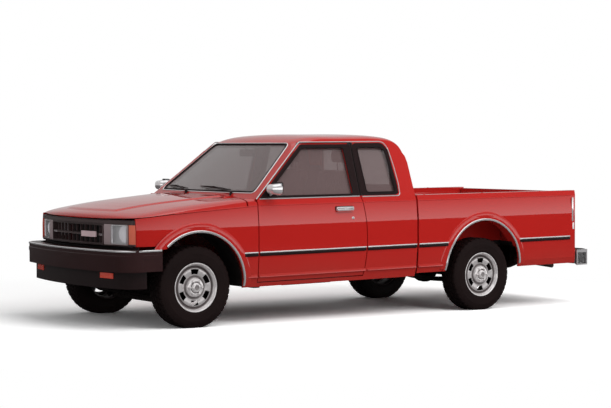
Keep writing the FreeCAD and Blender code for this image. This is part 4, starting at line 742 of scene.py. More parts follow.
# The sky: white to the camera, an even light to the bodies and a graded one in their mirror images.
def addSky():
    world = bpy.data.worlds.new("sky")
    bpy.context.scene.world = world
    world.use_nodes = True
    sky = Finish("sky", world)
    seen, mirrored, through = (sky.add("ShaderNodeLightPath", out=name) for name in (
        "Is Camera Ray", "Is Glossy Ray", "Is Transmission Ray"))
    direction = sky.add("ShaderNodeTexCoord", out="Generated")
    across, up = (sky.add("ShaderNodeSeparateXYZ", {}, {0: direction}, out) for out in ("X", "Z"))
    side = sky.ranged(across, -stageSizes["skyEdge"], stageSizes["skyEdge"])
    rise = sky.ranged(up, 0.0, stageSizes["skyTop"], stageSizes["skyLow"], stageSizes["skyHigh"])
    over = sky.ranged(up, stageSizes["overFrom"], stageSizes["overTo"], 0.0, stageSizes["overhead"])
    graded = sky.add("ShaderNodeMix", {}, {"Factor": side, "A": stageSizes["skyBehind"], "B": rise}, "Result")
    plain, mirror, backdrop = (
        sky.add("ShaderNodeBackground", {}, {"Color": (grey,) * 3, "Strength": strength})
        for grey, strength in (
            (1.0, stageSizes["world"]), (stageSizes["skyGrey"], sky.most(graded, over)), (1.0, 1.0)))
    lit = sky.add("ShaderNodeMixShader", {}, {0: mirrored, 1: plain, 2: mirror})
    shown = sky.add("ShaderNodeMixShader", {}, {0: sky.most(seen, through), 1: lit, 2: backdrop})
    sky.add("ShaderNodeOutputWorld", {}, {"Surface": shown})


def addLamps():
    for name, lamp in lamps.items():
        light = bpy.data.lights.new(name, "AREA")
        light.shape = "RECTANGLE"
        light.size, light.size_y = lamp["size"]
        light.energy = lamp["power"]
        holder = bpy.data.objects.new(name, light)
        bpy.context.scene.collection.objects.link(holder)
        holder.visible_glossy = False
        holder.location = lamp["place"]
        ahead = Vector(lamp["aim"]) - Vector(lamp["place"])
        holder.rotation_euler = ahead.to_track_quat("-Z", "Y").to_euler()


addCamera()
addFloor()
addSky()
addLamps()
bpy.context.scene.view_settings.view_transform = "Standard"
print("stage set")


# Wheels and tyres, modelled once at the left front and copied

tyre = {
    "half": [(0.0845, 0.1820), (0.0862, 0.1885), (0.0885, 0.1925), (0.0900, 0.1990), (0.0928, 0.2060),
             (0.0948, 0.2070), (0.0955, 0.2110), (0.0953, 0.2150), (0.0966, 0.2250), (0.0974, 0.2450),
             (0.0970, 0.2600), (0.0974, 0.2620), (0.0972, 0.2660), (0.0962, 0.2690), (0.0950, 0.2800),
             (0.0920, 0.2930), (0.0885, 0.3030), (0.0865, 0.3060), (0.0855, 0.3110), (0.0800, 0.3195),
             (0.0740, 0.3222), (0.0560, 0.3232), (0.0550, 0.3160), (0.0490, 0.3160), (0.0480, 0.3236),
             (0.0220, 0.3240), (0.0210, 0.3165), (0.0150, 0.3165), (0.0140, 0.3240)],
    "steps": 160, "cutFrom": 0.312, "cut": -0.006, "every": 4,
    "rows": [(0.0, 0.014), (0.022, 0.048), (0.056, 0.084)],
}
rim = {
    "face": [(0.0820, 0.1890), (0.0860, 0.1935), (0.0905, 0.1935), (0.0915, 0.1905), (0.0905, 0.1865),
             (0.0870, 0.1835), (0.0800, 0.1800), (0.0720, 0.1765), (0.0660, 0.1715), (0.0620, 0.1650),
             (0.0610, 0.1580), (0.0640, 0.1540), (0.0690, 0.1500), (0.0710, 0.1450), (0.0700, 0.1250),
             (0.0670, 0.1020), (0.0620, 0.0930), (0.0600, 0.0860), (0.0600, 0.0790), (0.0660, 0.0760),
             (0.0800, 0.0730), (0.0850, 0.0690), (0.0870, 0.0620), (0.0880, 0.0460)],
    "barrel": [(0.0820, 0.1890), (0.0760, 0.1830), (0.0400, 0.1770), (-0.0250, 0.1700), (-0.0700, 0.1780),
               (-0.0880, 0.1850), (-0.0915, 0.1930)],
    "cap": [(0.0860, 0.0400), (0.0900, 0.0395), (0.0985, 0.0370), (0.1040, 0.0335), (0.1068, 0.0290),
            (0.1070, 0.0225), (0.1040, 0.0205), (0.1030, 0.0001)],
    "steps": 72, "wall": 0.005, "windowFrom": 0.101, "windowTo": 0.146, "windowReach": 14.0,
    "nuts": 6, "nutCircle": 0.0545, "nut": ("rod", (0.7835, 0, 0.315), (0.7965, 0, 0.315), 0.0105, 6, 0.0015),
    "dome": ("rod", (0.7945, 0, 0.315), (0.8005, 0, 0.315), 0.0084, 16, 0.001, 0.00315),
}
hub = [("rod", (0.6680, 0, 0.315), (0.6875, 0, 0.315), 0.128, 64, 0.002),
       ("rod", (0.6680, 0, 0.315), (0.7455, 0, 0.315), 0.072, 48, 0.003)]


# Turns a line of (x, radius) points round the wheel's axle.
def spinLine(name, points, steps):
    piece = newCurve(name, False)
    addLoop(piece, [(truck["wheelX"] + x, 0, truck["axleZ"] + radius) for x, radius in points], False)
    piece = toMesh(piece)
    pickOnly(piece)
    bpy.ops.object.mode_set(mode="EDIT")
    bpy.ops.mesh.select_all(action="SELECT")
    bpy.ops.mesh.spin(steps=steps, angle=2 * math.pi, center=(0, 0, truck["axleZ"]), axis=(1, 0, 0))
    bpy.ops.object.mode_set(mode="OBJECT")
    outward(piece)
    return piece


def around(centre):
    return math.degrees(math.atan2(centre.z - truck["axleZ"], centre.y)) % 360


def reach(centre):
    return math.hypot(centre.z - truck["axleZ"], centre.y)


def makeTyre():
    half = tyre["half"]
    piece = spinLine("tyre", half + [(-x, radius) for x, radius in reversed(half)], tyre["steps"])
    pitch = 360 / tyre["steps"]

    def isCut(centre, normal):
        across = abs(centre.x - truck["wheelX"])
        turned = int(around(centre) / pitch) % tyre["every"]
        return reach(centre) > tyre["cutFrom"] and any(
            inner <= across < outer and turned == row for row, (inner, outer) in enumerate(tyre["rows"]))

    workFaces(piece, isCut, lambda: bpy.ops.mesh.extrude_region_shrink_fatten(
        TRANSFORM_OT_shrink_fatten={"value": tyre["cut"]}))
    workPoints(piece, lambda place: place.z < 0, lambda: bpy.ops.transform.resize(
        value=(1, 1, 0), center_override=(0, 0, 0)))
    smooth(piece, 40)
    return piece


def makeRim():
    piece = spinLine("rim", rim["face"], rim["steps"])

    def isWindow(centre, normal):
        return rim["windowFrom"] < reach(centre) < rim["windowTo"] and abs(
            around(centre) % 60 - 30) < rim["windowReach"]

    workFaces(piece, isWindow, lambda: bpy.ops.mesh.delete(type="FACE"))
    modify(piece, "SOLIDIFY", thickness=rim["wall"], offset=-1)
    softEdges(piece, 0.0014)
    barrel = spinLine("barrel", rim["barrel"], rim["steps"])
    modify(barrel, "SOLIDIFY", thickness=rim["wall"] * 0.6, offset=0)
    cap = spinLine("cap", rim["cap"], rim["steps"])
    parts = [piece, barrel, cap]
    for k in range(rim["nuts"]):
        turn = 2 * math.pi * k / rim["nuts"]
        y, z = rim["nutCircle"] * math.cos(turn), rim["nutCircle"] * math.sin(turn)
        parts.append(build("nut", [moved(rim["nut"], 0, y, z), moved(rim["dome"], 0, y, z)]))
    whole = join(parts, "rim")
    smooth(whole, 35)
    return whole


def addWheels():
    masters = {
        "tyre": (makeTyre(), tyreRubber, "tyre_rubber", "tyre"),
        "rim": (makeRim(), wheelMetal, "wheel_chrome", "wheel"),
        "hub": (build("hub", hub), steelBlack, "wheel_chrome", None),
    }
    for kind, (master, finish, slot, node) in masters.items():
        stand(master)
        for end, shift in (("front", 0), ("rear", truck["wheelbase"])):
            left = copyOf(master, kind + end.title() + "Left")
            left.location.y = shift
            applyPlace(left)
            right = otherSide(left, kind + end.title() + "Right")
            for piece, side in ((left, "left"), (right, "right")):
                fit(piece, finish, slot, "wheel_" + end + "_" + side)
                if node:
                    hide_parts(node + "_" + end + "_" + side)
        bpy.data.objects.remove(master)


addWheels()
print("wheels made")


# Bright and black mouldings along the sides, and how far out the side is at each height

flank = [(0.290, 0.792), (0.372, 0.817), (0.560, 0.832), (0.777, 0.832), (0.940, 0.818), (0.989, 0.800)]


def flankX(z):
    for (z0, x0), (z1, x1) in zip(flank, flank[1:]):
        if z <= z1:
            return x0 + (x1 - x0) * max(0.0, z - z0) / (z1 - z0)
    return flank[-1][1]


moulding = {"top": 0.572, "bright": 0.012, "black": 0.024, "proud": 0.007, "sunk": 0.002, "segments": [
    (0.432, 0.563, "root"), (0.580, 1.656, "door"), (1.674, 2.206, "root"), (2.234, 2.562, "root"),
    (3.404, 4.040, "root")]}
archTrim = {"off": 0.0065, "upright": 0.777, "width": 0.018, "proud": 0.010, "radius": 0.4375, "steps": 49,
            "front": (-1.5, 131.0), "rear": (4.0, 179.0)}


def addSideMouldings():
    x = truck["halfWidth"]
    top, bright, black, proud = (moulding[key] for key in ("top", "bright", "black", "proud"))
    inside, parting, outside = x - moulding["sunk"], top - bright, x + proud
    for number, (start, end, body) in enumerate(moulding["segments"]):
        low = addBlock("sideBlack", (inside, start, parting - black), (outside - 0.001, end, parting), 0.003)
        fitPair(low, "sideBlack%d" % number, trimBlack, "black_plastic", body)
        high = addBlock("sideBright", (inside, start, parting), (outside, end, top), 0.0035, 3)
        fitPair(high, "sideBright%d" % number, chrome, "bumper_chrome", body)


def addArchTrim():
    for name, y in (("front", truck["frontArchY"]), ("rear", truck["rearArchY"])):
        start, end = archTrim[name]
        line = arcPoints((y, truck["archZ"]), archTrim["radius"], start, end, archTrim["steps"])
        strip = addStrip("archTrim", line, archTrim["width"], archTrim["proud"])
        layOnSide(strip, archTrim["off"], 0, 0)
        for point in strip.data.vertices:
            point.co.x += flankX(min(point.co.z, archTrim["upright"]))
        fitPair(strip, name + "ArchTrim", chrome, "bumper_chrome")


rocker = {"z": (0.366, 0.390), "x": 0.8165, "inner": 0.8105, "outer": 0.8290, "slope": 0.0105, "segments": [
    (0.470, 0.563, "root"), (0.580, 1.656, "door"), (1.674, 2.206, "root"), (2.234, 2.505, "root")]}

bodyLine = {"radius": 0.0035, "sunk": 0.0005, "segments": [
    ((-0.205, 0.896), (0.563, 0.938), "root"), ((0.580, 0.939), (1.640, 0.940), "door"),
    ((1.658, 0.940), (2.206, 0.940), "root"), ((2.234, 0.940), (4.060, 0.940), "root")]}


def addRockerRibs():
    z0, z1 = rocker["z"]
    for number, (start, end, body) in enumerate(rocker["segments"]):
        rib = addBlock("rib", (rocker["inner"], start, z0), (rocker["outer"], end, z1), 0.0015)
        workPoints(rib, lambda place: place.z > (z0 + z1) / 2 and place.x > rocker["x"],
                   lambda: bpy.ops.transform.translate(value=(-rocker["slope"], 0, 0)))
        fitPair(rib, "rockerRib%d" % number, redPaint, "body_paint", body)
    for number, (start, end, body) in enumerate(bodyLine["segments"]):
        ends = [(flankX(z) - bodyLine["sunk"], y, z) for y, z in (start, end)]
        line = addWire("line", ends, bodyLine["radius"], kind="POLY")
        fitPair(line, "bodyLine%d" % number, redPaint, "body_paint", body)


addSideMouldings()
addArchTrim()
addRockerRibs()


# Window surrounds, in the plane of the leaning side: (y, height along the lean from the belt)

def onLean(points):
    stretch = math.hypot(1, truck["sideLean"])
    return [(y, (z - truck["beltZ"]) * stretch) for y, z in points]


windows = {
    "doorEdge": [(0.5985, 0.9935), (1.1130, 1.4235), (1.6280, 1.4235), (1.6135, 0.9935)],
    "doorHole": [(0.7530, 1.0075), (0.7530, 1.0840), (1.1270, 1.3965), (1.5500, 1.3965), (1.5500, 1.0075)],
    "quarterEdge": [(1.6345, 0.9935), (1.6500, 1.4320), (1.9750, 1.4320), (2.0200, 1.3800), (2.0420, 1.0850),
                    (2.0340, 0.9935)],
    "quarterHole": [(1.6960, 1.0180), (1.6960, 1.3980), (1.9550, 1.3980), (1.9900, 1.3620), (2.0080, 1.0180)],
    "roofLine": [(0.5700, 0.9900), (1.0955, 1.4310), (1.1100, 1.4420), (1.9600, 1.4440), (1.9950, 1.4330),
                 (2.0280, 1.3900), (2.0500, 1.2300), (2.0570, 1.0870), (2.0480, 1.0000), (2.0300, 0.9850),
                 (1.9900, 0.9850), (1.6400, 0.9860)],
    "doorBelt": [(0.6000, 0.9900), (1.6110, 0.9900)],
    "proud": 0.0012, "plate": 0.0024, "platePlace": 0.0016, "line": 0.0085, "lineProud": 0.0045,
    "doorCorner": 0.018, "quarterCorner": 0.050, "holeCorner": 0.028, "seal": 0.010, "sealHeight": 0.004,
}


def addWindowTrim():
    x, z, lean = truck["halfBelt"], truck["beltZ"], truck["sideLean"]
    for name, body in (("door", "door"), ("quarter", "root")):
        edge = roundCorners(onLean(windows[name + "Edge"]), windows[name + "Corner"])
        hole = roundCorners(onLean(windows[name + "Hole"]), windows["holeCorner"])
        plate = addPlate("frame", [edge, hole], windows["plate"])
        layOnSide(plate, x, z, lean, windows["platePlace"])
        softEdges(plate, 0.0008, 1)
        smooth(plate)
        fitPair(plate, name + "Frame", trimBlack, "black_plastic", body)
        seal = addStrip("seal", hole, windows["seal"], windows["sealHeight"], True)
        layOnSide(seal, x, z, lean, windows["proud"])
        fitPair(seal, name + "Seal", sealRubber, "black_plastic", body)
    line = roundCorners(onLean(windows["roofLine"]), 0.02)[7:-7]
    line = onLean(windows["roofLine"][:1]) + line + onLean(windows["roofLine"][-1:])
    belt = onLean(windows["doorBelt"])
    for name, points, body in (("windowLine", line, "root"), ("beltLine", belt, "door")):
        strip = addStrip(name, points, windows["line"], windows["lineProud"])
        layOnSide(strip, x, z, lean)
        fitPair(strip, name, chrome, "bumper_chrome", body)


addWindowTrim()
print("side trim made")


# Windscreen surround and wipers, on the bowed screen

screen = {
    "lowZ": 1.045, "rise": 0.378, "lowX": 0.700, "narrow": 0.155, "lowY": 0.619, "back": 0.440,
    "lowBow": 0.055, "lessBow": 0.015, "corner": 0.045, "step": 0.07, "spreadLow": 1.3, "spreadHigh": 0.9,
    "rubber": (0.0075, 0.002, 0.001), "bright": (0.0045, 0.011, 0.003),
}


def screenPoint(x, z, off=0.0):
    share = (z - screen["lowZ"]) / screen["rise"]
    half = screen["lowX"] - share * screen["narrow"]
    bow = screen["lowBow"] - share * screen["lessBow"]
    return (x, screen["lowY"] + share * screen["back"] - bow + bow * (x / half) ** 2 - off, z)


def screenLoop(grow, off):
    low, high = screen["lowZ"] - grow, screen["lowZ"] + screen["rise"] + grow
    lowX = screen["lowX"] + grow * screen["spreadLow"]
    highX = screen["lowX"] - screen["narrow"] + grow * screen["spreadHigh"]
    corners = roundCorners([(-lowX, low), (-highX, high), (highX, high), (lowX, low)], screen["corner"])
    return [screenPoint(x, z, off) for x, z in spread(corners, screen["step"])]


wipers = {
    "near": {"pivot": (0.450, 0.562, 1.019), "blade": [(0.405, 1.058), (0.175, 1.067), (-0.060, 1.078)]},
    "far": {"pivot": (-0.205, 0.540, 1.022), "blade": [(-0.235, 1.058), (-0.425, 1.064), (-0.620, 1.074)]},
    "off": 0.012, "lift": (0, -0.014, 0.012), "rise": (0, -0.004, 0.020), "bend": (0, -0.006, 0.008),
    "share": 0.25, "spineLift": (0, -0.006, 0.004), "spineEnd": 0.3, "armRadius": 0.0055,
    "spineRadius": 0.0045, "bladeRadius": 0.0045,
    "cap": ("rod", (0, 0, -0.02), (0, -0.003, 0.024), 0.016, 24, 0.003, 0.0112),
    "clip": ("block", (-0.018, -0.008, -0.006), (0.018, 0.006, 0.006), 0.003),
}


def addScreenTrim():
    for key, name, finish, slot in (("rubber", "screenRubber", sealRubber, "black_plastic"),
                                    ("bright", "screenBright", chrome, "bumper_chrome")):
        radius, grow, off = screen[key]
        fitOne(addWire(name, screenLoop(grow, off), radius, True), finish, slot)
    for side in ("near", "far"):
        pivot = Vector(wipers[side]["pivot"])
        blade = [Vector(screenPoint(x, z, wipers["off"])) for x, z in wipers[side]["blade"]]
        lift, rise, bend, spineLift = (Vector(wipers[key]) for key in ("lift", "rise", "bend", "spineLift"))
        lifted, foot = blade[1] + lift, pivot + rise
        elbow = foot.lerp(lifted, wipers["share"]) + bend
        ends = [blade[end].lerp(blade[1], wipers["spineEnd"]) + spineLift for end in (0, 2)]
        spine = [ends[0], lifted, ends[1]]
        rows = [("wire", [foot, elbow, lifted], wipers["armRadius"]), ("wire", spine, wipers["spineRadius"]),
                ("wire", blade, wipers["bladeRadius"]), moved(wipers["cap"], *pivot),
                moved(wipers["clip"], *lifted)]
        fitOne(build(side + "Wiper", rows), trimBlack, "black_plastic")


addScreenTrim()
print("screen trim made")


# Front end: lamp bezels, lamps, badge plate, lines of the bumper

nose = {"lipY": -0.640, "back": 0.120, "cornerX": 0.770}


def noseY(x):
    return nose["lipY"] + nose["back"] * (x / nose["cornerX"]) ** 2


# Bends a flat piece round the bow of the nose, keeping its depth.
def bowRound(piece):
    for point in piece.data.vertices:
        point.co.y += noseY(point.co.x) - nose["lipY"]


def boxOutline(x0, x1, z0, z1, corner=0.006):
    return spread(roundCorners([(x0, z0), (x1, z0), (x1, z1), (x0, z1)], corner, 4), 0.02)


def addBowedPlate(name, outlines, depth, proud, edge=0.0015):
    plate = addPlate(name, outlines, depth)
    layInFront(plate, nose["lipY"] - proud)
    bowRound(plate)
    if edge:
        softEdges(plate, edge, 1)
    smooth(plate)
    return plate


front = {
    "lens": (0.512, 0.677, 0.672, 0.812), "bezel": (0.424, 0.689, 0.661, 0.818), "corner": 0.004,
    "ringOut": 0.004, "ringIn": 0.003, "grilleOut": (-0.418, 0.418, 0.656, 0.814),
    "grilleIn": (-0.408, 0.408, 0.666, 0.806),
}
nosePlates = [
    ("noseStrip", (-0.742, 0.742, 0.8205, 0.8480), 0.010, -0.004, darkTrim, "front_trim"),
    ("lowStrip", (-0.742, 0.742, 0.6440, 0.6580), 0.012, -0.004, trimBlack, "black_plastic"),
    ("noseFiller", (-0.762, 0.762, 0.560, 0.652), 0.012, -0.030, trimBlack, "black_plastic"),
    ("grilleBar", (-0.405, 0.405, 0.7270, 0.7430), 0.008, -0.007, silverTrim, "front_trim"),
    ("badgePlate", (0.130, 0.330, 0.7130, 0.7570), 0.008, 0.001, paleTrim, "front_trim"),
]


# A box (x0, x1, z0, z1) grown on every side.
def grownBox(box, out):
    x0, x1, z0, z1 = box
    return (x0 - out, x1 + out, z0 - out, z1 + out)


def addFrontPanel():
    hole = boxOutline(*front["lens"], 0.012)
    bezel = addBowedPlate("bezel", [boxOutline(*front["bezel"], 0.010), hole], 0.010, -0.006)
    fitPair(bezel, "lampBezel", lampGrey, "front_trim")
    outer = boxOutline(*grownBox(front["lens"], front["ringOut"]), 0.014)
    inner = boxOutline(*grownBox(front["lens"], -front["ringIn"]), 0.010)
    fitPair(addBowedPlate("edge", [outer, inner], 0.012, -0.004), "lampRing", chrome, "bumper_chrome")
    outer, inner = boxOutline(*front["grilleOut"], 0.012), boxOutline(*front["grilleIn"], 0.008)
    fitOne(addBowedPlate("grilleRim", [outer, inner], 0.012, -0.003), darkTrim, "front_trim")
    for name, box, depth, proud, finish, slot in nosePlates:
        fitOne(addBowedPlate(name, [boxOutline(*box, front["corner"])], depth, proud), finish, slot)


bowl = {"behind": 0.050, "size": (0.074, 0.030, 0.064), "cut": 0.004, "wall": 0.002, "bulb": 0.011,
        "bulbFrom": 0.026, "bulbTo": -0.006}


# Behind each clear lens: a bright bowl with its bulb.
# The bowl's brightness comes partly from the painted glow of its white finish, a painted highlight.
def addHeadlampBowls():
    x0, x1, z0, z1 = front["lens"]
    x, z = (x0 + x1) / 2, (z0 + z1) / 2
    y = noseY(x) + bowl["behind"]
    bpy.ops.mesh.primitive_uv_sphere_add(segments=32, ring_count=16, radius=1, location=(x, y, z))
    shell = bpy.context.object
    shell.scale = bowl["size"]
    applyPlace(shell)
    workFaces(shell, lambda centre, normal: centre.y < y - bowl["cut"],
              lambda: bpy.ops.mesh.delete(type="FACE"))
    modify(shell, "SOLIDIFY", thickness=bowl["wall"], offset=0)
    smooth(shell)
    bulb = addRod("bulb", (x, y + bowl["bulbFrom"], z), (x, y + bowl["bulbTo"], z), bowl["bulb"], 24, 0.004)
    fitPair(join([shell, bulb], "bowl"), "lampBowl", lampWhite, "front_trim")


bumper = {
    "brow": (0.700, -0.670), "corner": (0.800, -0.615), "side": (0.838, -0.490), "end": (0.838, -0.330),
    "nose": -0.740, "proud": 0.0006, "bends": 8, "middle": 20,
    "bright": (-0.004, 0.016, 0.013, 0.615), "rub": (-0.003, 0.012, 0.030, 0.560),
}


# The line round the bumper, moved out by a distance.
def bumperPath(out):
    brow, side, corner = bumper["brow"], bumper["side"], bumper["corner"]
    bend = [2 * c - (a + b) / 2 for a, b, c in zip(brow, side, corner)]
    left = []
    for k in range(bumper["bends"] + 1):
        share = k / bumper["bends"]
        left.append(tuple((1 - share) ** 2 * a + 2 * share * (1 - share) * m + share ** 2 * b
                          for a, m, b in zip(brow, bend, side)))
    left.append(bumper["end"])
    depth = brow[1] - bumper["nose"]
    shares = [k / bumper["middle"] for k in range(1 - bumper["middle"], bumper["middle"])]
    middle = [(share * brow[0], bumper["nose"] + depth * share ** 2) for share in shares]
    path = [(-x, y) for x, y in reversed(left)] + middle + left
    grown = []
    for before, here, after in zip([path[0]] + path[:-1], path, path[1:] + [path[-1]]):
        run = (Vector(after) - Vector(before)).normalized()
        grown.append((here[0] + run.y * out, here[1] - run.x * out))
    return grown


# Keeps a strip within the bumper's reach at its foremost point.
def flattenNose(strip):
    for point in strip.data.vertices:
        point.co.y = max(point.co.y, bumper["nose"] - bumper["proud"])


def addBumperLines():
    for key, name, finish, slot in (("bright", "bumperBright", chrome, "bumper_chrome"),
                                    ("rub", "bumperRub", bumperBlack, "bumper_front")):
        out, width, height, z = bumper[key]
        strip = addStrip(name, bumperPath(out), width, height)
        flattenNose(strip)
        strip.location.z = z
        applyPlace(strip)
        fitOne(strip, finish, slot)


addFrontPanel()
addHeadlampBowls()
addBumperLines()
print("front made")


# Doors: handles, locks, mirrors

handle = {
    "y": (1.3485, 1.5195), "z": (0.8745, 0.9075), "face": 0.8452, "press": 0.005, "pressHalf": 0.008,
    "cup": ("block", (-0.012, 1.3385, 0.8525), (0.0015, 1.5275, 0.9135), 0.006, 3),
    "lock": (1.520, 0.812), "lockProud": 0.004, "lockRadius": 0.0125,
}


def addHandles():
    (y0, y1), (z0, z1) = handle["y"], handle["z"]
    middle = (z0 + z1) / 2
    x = flankX(middle)
    fitPair(build("cup", [moved(handle["cup"], x)]), "handleCup", trimBlack, "black_plastic", "door")
    flap = addBlock("flap", (x + 0.001, y0 - 0.002, z0), (handle["face"], y1 + 0.002, z1), 0.006, 4)
    workFaces(flap, lambda centre, normal: normal.x > 0.9 and abs(centre.z - middle) < handle["pressHalf"],
              lambda: bpy.ops.mesh.inset(thickness=handle["press"], depth=-0.002))
    fitPair(flap, "doorHandle", chrome, "bumper_chrome", "door")
    y, z = handle["lock"]
    x, proud = flankX(z), handle["lockProud"]
    lock = addRod("lock", (x - proud, y, z), (x + proud, y, z), handle["lockRadius"], 24, 0.002)
    workFaces(lock, lambda centre, normal: normal.x > 0.9,
              lambda: bpy.ops.mesh.inset(thickness=proud, depth=-0.001))
    fitPair(lock, "doorLock", chrome, "bumper_chrome", "door")


mirror = {
    "shell": ((0.800, 0.632, 1.034), (0.930, 0.738, 1.126)), "round": 0.034, "parting": 0.687,
    "taper": (0.94, 1, 0.86),
    "arm": [(0.775, 0.700, 1.030), (0.800, 0.690, 1.036), (0.828, 0.688, 1.052)], "armRadius": 0.013,
    "glass": [("block", (0.812, 0.741, 1.044), (0.918, 0.7435, 1.116), 0.001)], "rimY": 0.741,
    "rimDepth": 0.006, "rimOut": (0.804, 0.926, 1.037, 1.123), "rimIn": (0.813, 0.917, 1.045, 1.115),
    "rimCorners": (0.016, 0.010),
    "foot": [("block", (0.772, 0.690, 1.016), (0.802, 0.752, 1.082), 0.006, 3)],
}


def boxCorners(x0, x1, z0, z1):
    return [(x0, z0), (x1, z0), (x1, z1), (x0, z1)]


def addMirrors():
    shell = addBlock("shell", *mirror["shell"], mirror["round"], 8)
    workPoints(shell, lambda place: place.y < mirror["parting"],
               lambda: bpy.ops.transform.resize(value=mirror["taper"]))
    whole = join([shell, addWire("arm", mirror["arm"], mirror["armRadius"])], "mirrorShell")
    stand(whole)
    twin = otherSide(whole, "mirrorShellRight")
    whole.name = "mirrorShellLeft"
    for piece, side in ((whole, "left"), (twin, "right")):
        fit(piece, chrome, "bumper_chrome", "door_" + side)
        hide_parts("mirror_" + side)
    fitPair(build("glass", mirror["glass"]), "mirrorGlass", mirrorFinish, "bumper_chrome", "door")
    outlines = [roundCorners(boxCorners(*mirror[key]), corner)
                for key, corner in zip(("rimOut", "rimIn"), mirror["rimCorners"])]
    ring = addPlate("ring", outlines, mirror["rimDepth"])
    layInFront(ring, mirror["rimY"])
    fitPair(ring, "mirrorRim", trimBlack, "black_plastic", "door")
    fitPair(build("foot", mirror["foot"]), "mirrorFoot", trimBlack, "black_plastic", "door")


addHandles()
addMirrors()


# Rear: lamps, tailgate, bumper

tail = {
    "tailWhite": (whiteLens, "lens_clear", [
        ("block", (0.748, 4.118, 0.627), (0.802, 4.133, 0.700), 0.004, 3)]),
    "tailRed": (redLens, "lens_red", [
        ("block", (0.748, 4.118, 0.706), (0.802, 4.133, 0.836), 0.004, 3)]),
    "tailAmber": (amberLens, "lens_amber", [
        ("block", (0.748, 4.118, 0.842), (0.802, 4.133, 0.921), 0.004, 3)]),
    "tailStrip": (chrome, "bumper_chrome", [
        ("block", (0.826, 4.066, 0.702), (0.836, 4.084, 0.921), 0.004, 3)]),
    "tailFoot": (whiteLens, "lens_clear", [
        ("block", (0.826, 4.074, 0.629), (0.835, 4.094, 0.690), 0.004, 3)]),
}
gate = {
    "press": (-0.640, 0.640, 0.600, 0.930), "pressY": 4.125, "pressWidth": 0.018, "pressHeight": 0.005,
    "cup": ((-0.075, 4.121, 0.860), (0.075, 4.128, 0.905)), "lip": 0.006, "sunk": 0.004,
    "lever": ((-0.061, 4.122, 0.872), (0.061, 4.1295, 0.897)),
}


# Fits each group of a dictionary as a pair of twins.
def addPairs(groups, body="root"):
    for name, (finish, slot, rows) in groups.items():
        fitPair(build(name, rows), name, finish, slot, body)


def addTailgate():
    outline = roundCorners(boxCorners(*gate["press"]), 0.04)
    press = addStrip("gatePress", outline, gate["pressWidth"], gate["pressHeight"], True)
    layInFront(press, gate["pressY"])
    fitOne(press, redPaint, "body_paint", "tailgate")
    cup = addBlock("cup", *gate["cup"], 0.004, 3)
    workFaces(cup, lambda centre, normal: normal.y > 0.9,
              lambda: bpy.ops.mesh.inset(thickness=gate["lip"], depth=-gate["sunk"]))
    lever = addBlock("lever", *gate["lever"], 0.004, 3)
    fitOne(join([cup, lever], "gateHandle"), trimBlack, "black_plastic", "tailgate")


stepPad = {
    "x": (0.312, 0.788), "pad": ((4.179, 0.434), (4.280, 0.439)), "ribs": 6, "ribX": (0.322, 0.778),
    "rib": ((4.189, 0.438), (4.195, 0.4415)), "ribPitch": 0.015, "capX": (0.770, 0.800),
    "cap": ((4.169, 0.294), (4.296, 0.415)),
    "plate": [("block", (-0.150, 4.296, 0.300), (0.150, 4.2995, 0.385), 0.0015)],
}


# A block between two distances from the middle, on the side that 1 (left) or -1 (right) names.
def sideBlock(side, across, ends, edge, segments=2):
    (y0, z0), (y1, z1) = ends
    x0, x1 = sorted((side * across[0], side * across[1]))
    return ("block", (x0, y0, z0), (x1, y1, z1), edge, segments)


def addRearBumper():
    for side, name in ((1, "Left"), (-1, "Right")):
        rib = sideBlock(side, stepPad["ribX"], stepPad["rib"], 0.001, 1)
        rows = [sideBlock(side, stepPad["x"], stepPad["pad"], 0.002)]
        rows += [moved(rib, 0, stepPad["ribPitch"] * k) for k in range(stepPad["ribs"])]
        fitOne(build("stepPad" + name, rows), trimBlack, "black_plastic")
        cap = build("bumperCap" + name, [sideBlock(side, stepPad["capX"], stepPad["cap"], 0.008, 3)])
        fitOne(cap, darkTrim, "black_plastic")
    fitOne(build("plateHolder", stepPad["plate"]), trimBlack, "black_plastic")


rearSeal = {"radius": 0.009, "off": 0.002, "corner": 0.035}


# A rubber seal round the back window, drawn in the window's own plane and leant with it.
def addRearSeal():
    low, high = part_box("rear_window")
    height = high.z - low.z
    outline = roundCorners([(low.x, 0), (high.x, 0), (high.x, height), (low.x, height)], rearSeal["corner"])
    lean = (high.y - low.y) / 2 / height
    line = [(x, high.y - lean * z + rearSeal["off"], low.z + z) for x, z in outline]
    seal = addWire("rearSeal", line, rearSeal["radius"], True, "POLY")
    fit(seal, sealRubber, "black_plastic")


addPairs(tail)
addTailgate()
addRearBumper()
addRearSeal()
print("rear made")


# Flares round the wheel arches and the raised middle of the hood

flare = {
    "profile": [(0.507, -0.0060), (0.5055, -0.0035), (0.4990, 0.0032), (0.4910, 0.0058), (0.4800, 0.0072),
                (0.4660, 0.0079), (0.4340, 0.0080), (0.4305, 0.0066), (0.4305, -0.0060)],
    "upright": 0.777, "steps": 72, "front": (-3.2, 141.0), "rear": (-3.0, 183.0),
    "feet": {"front": (0.6285, 0.3005), "rear": (0.334, 0.334)},
}


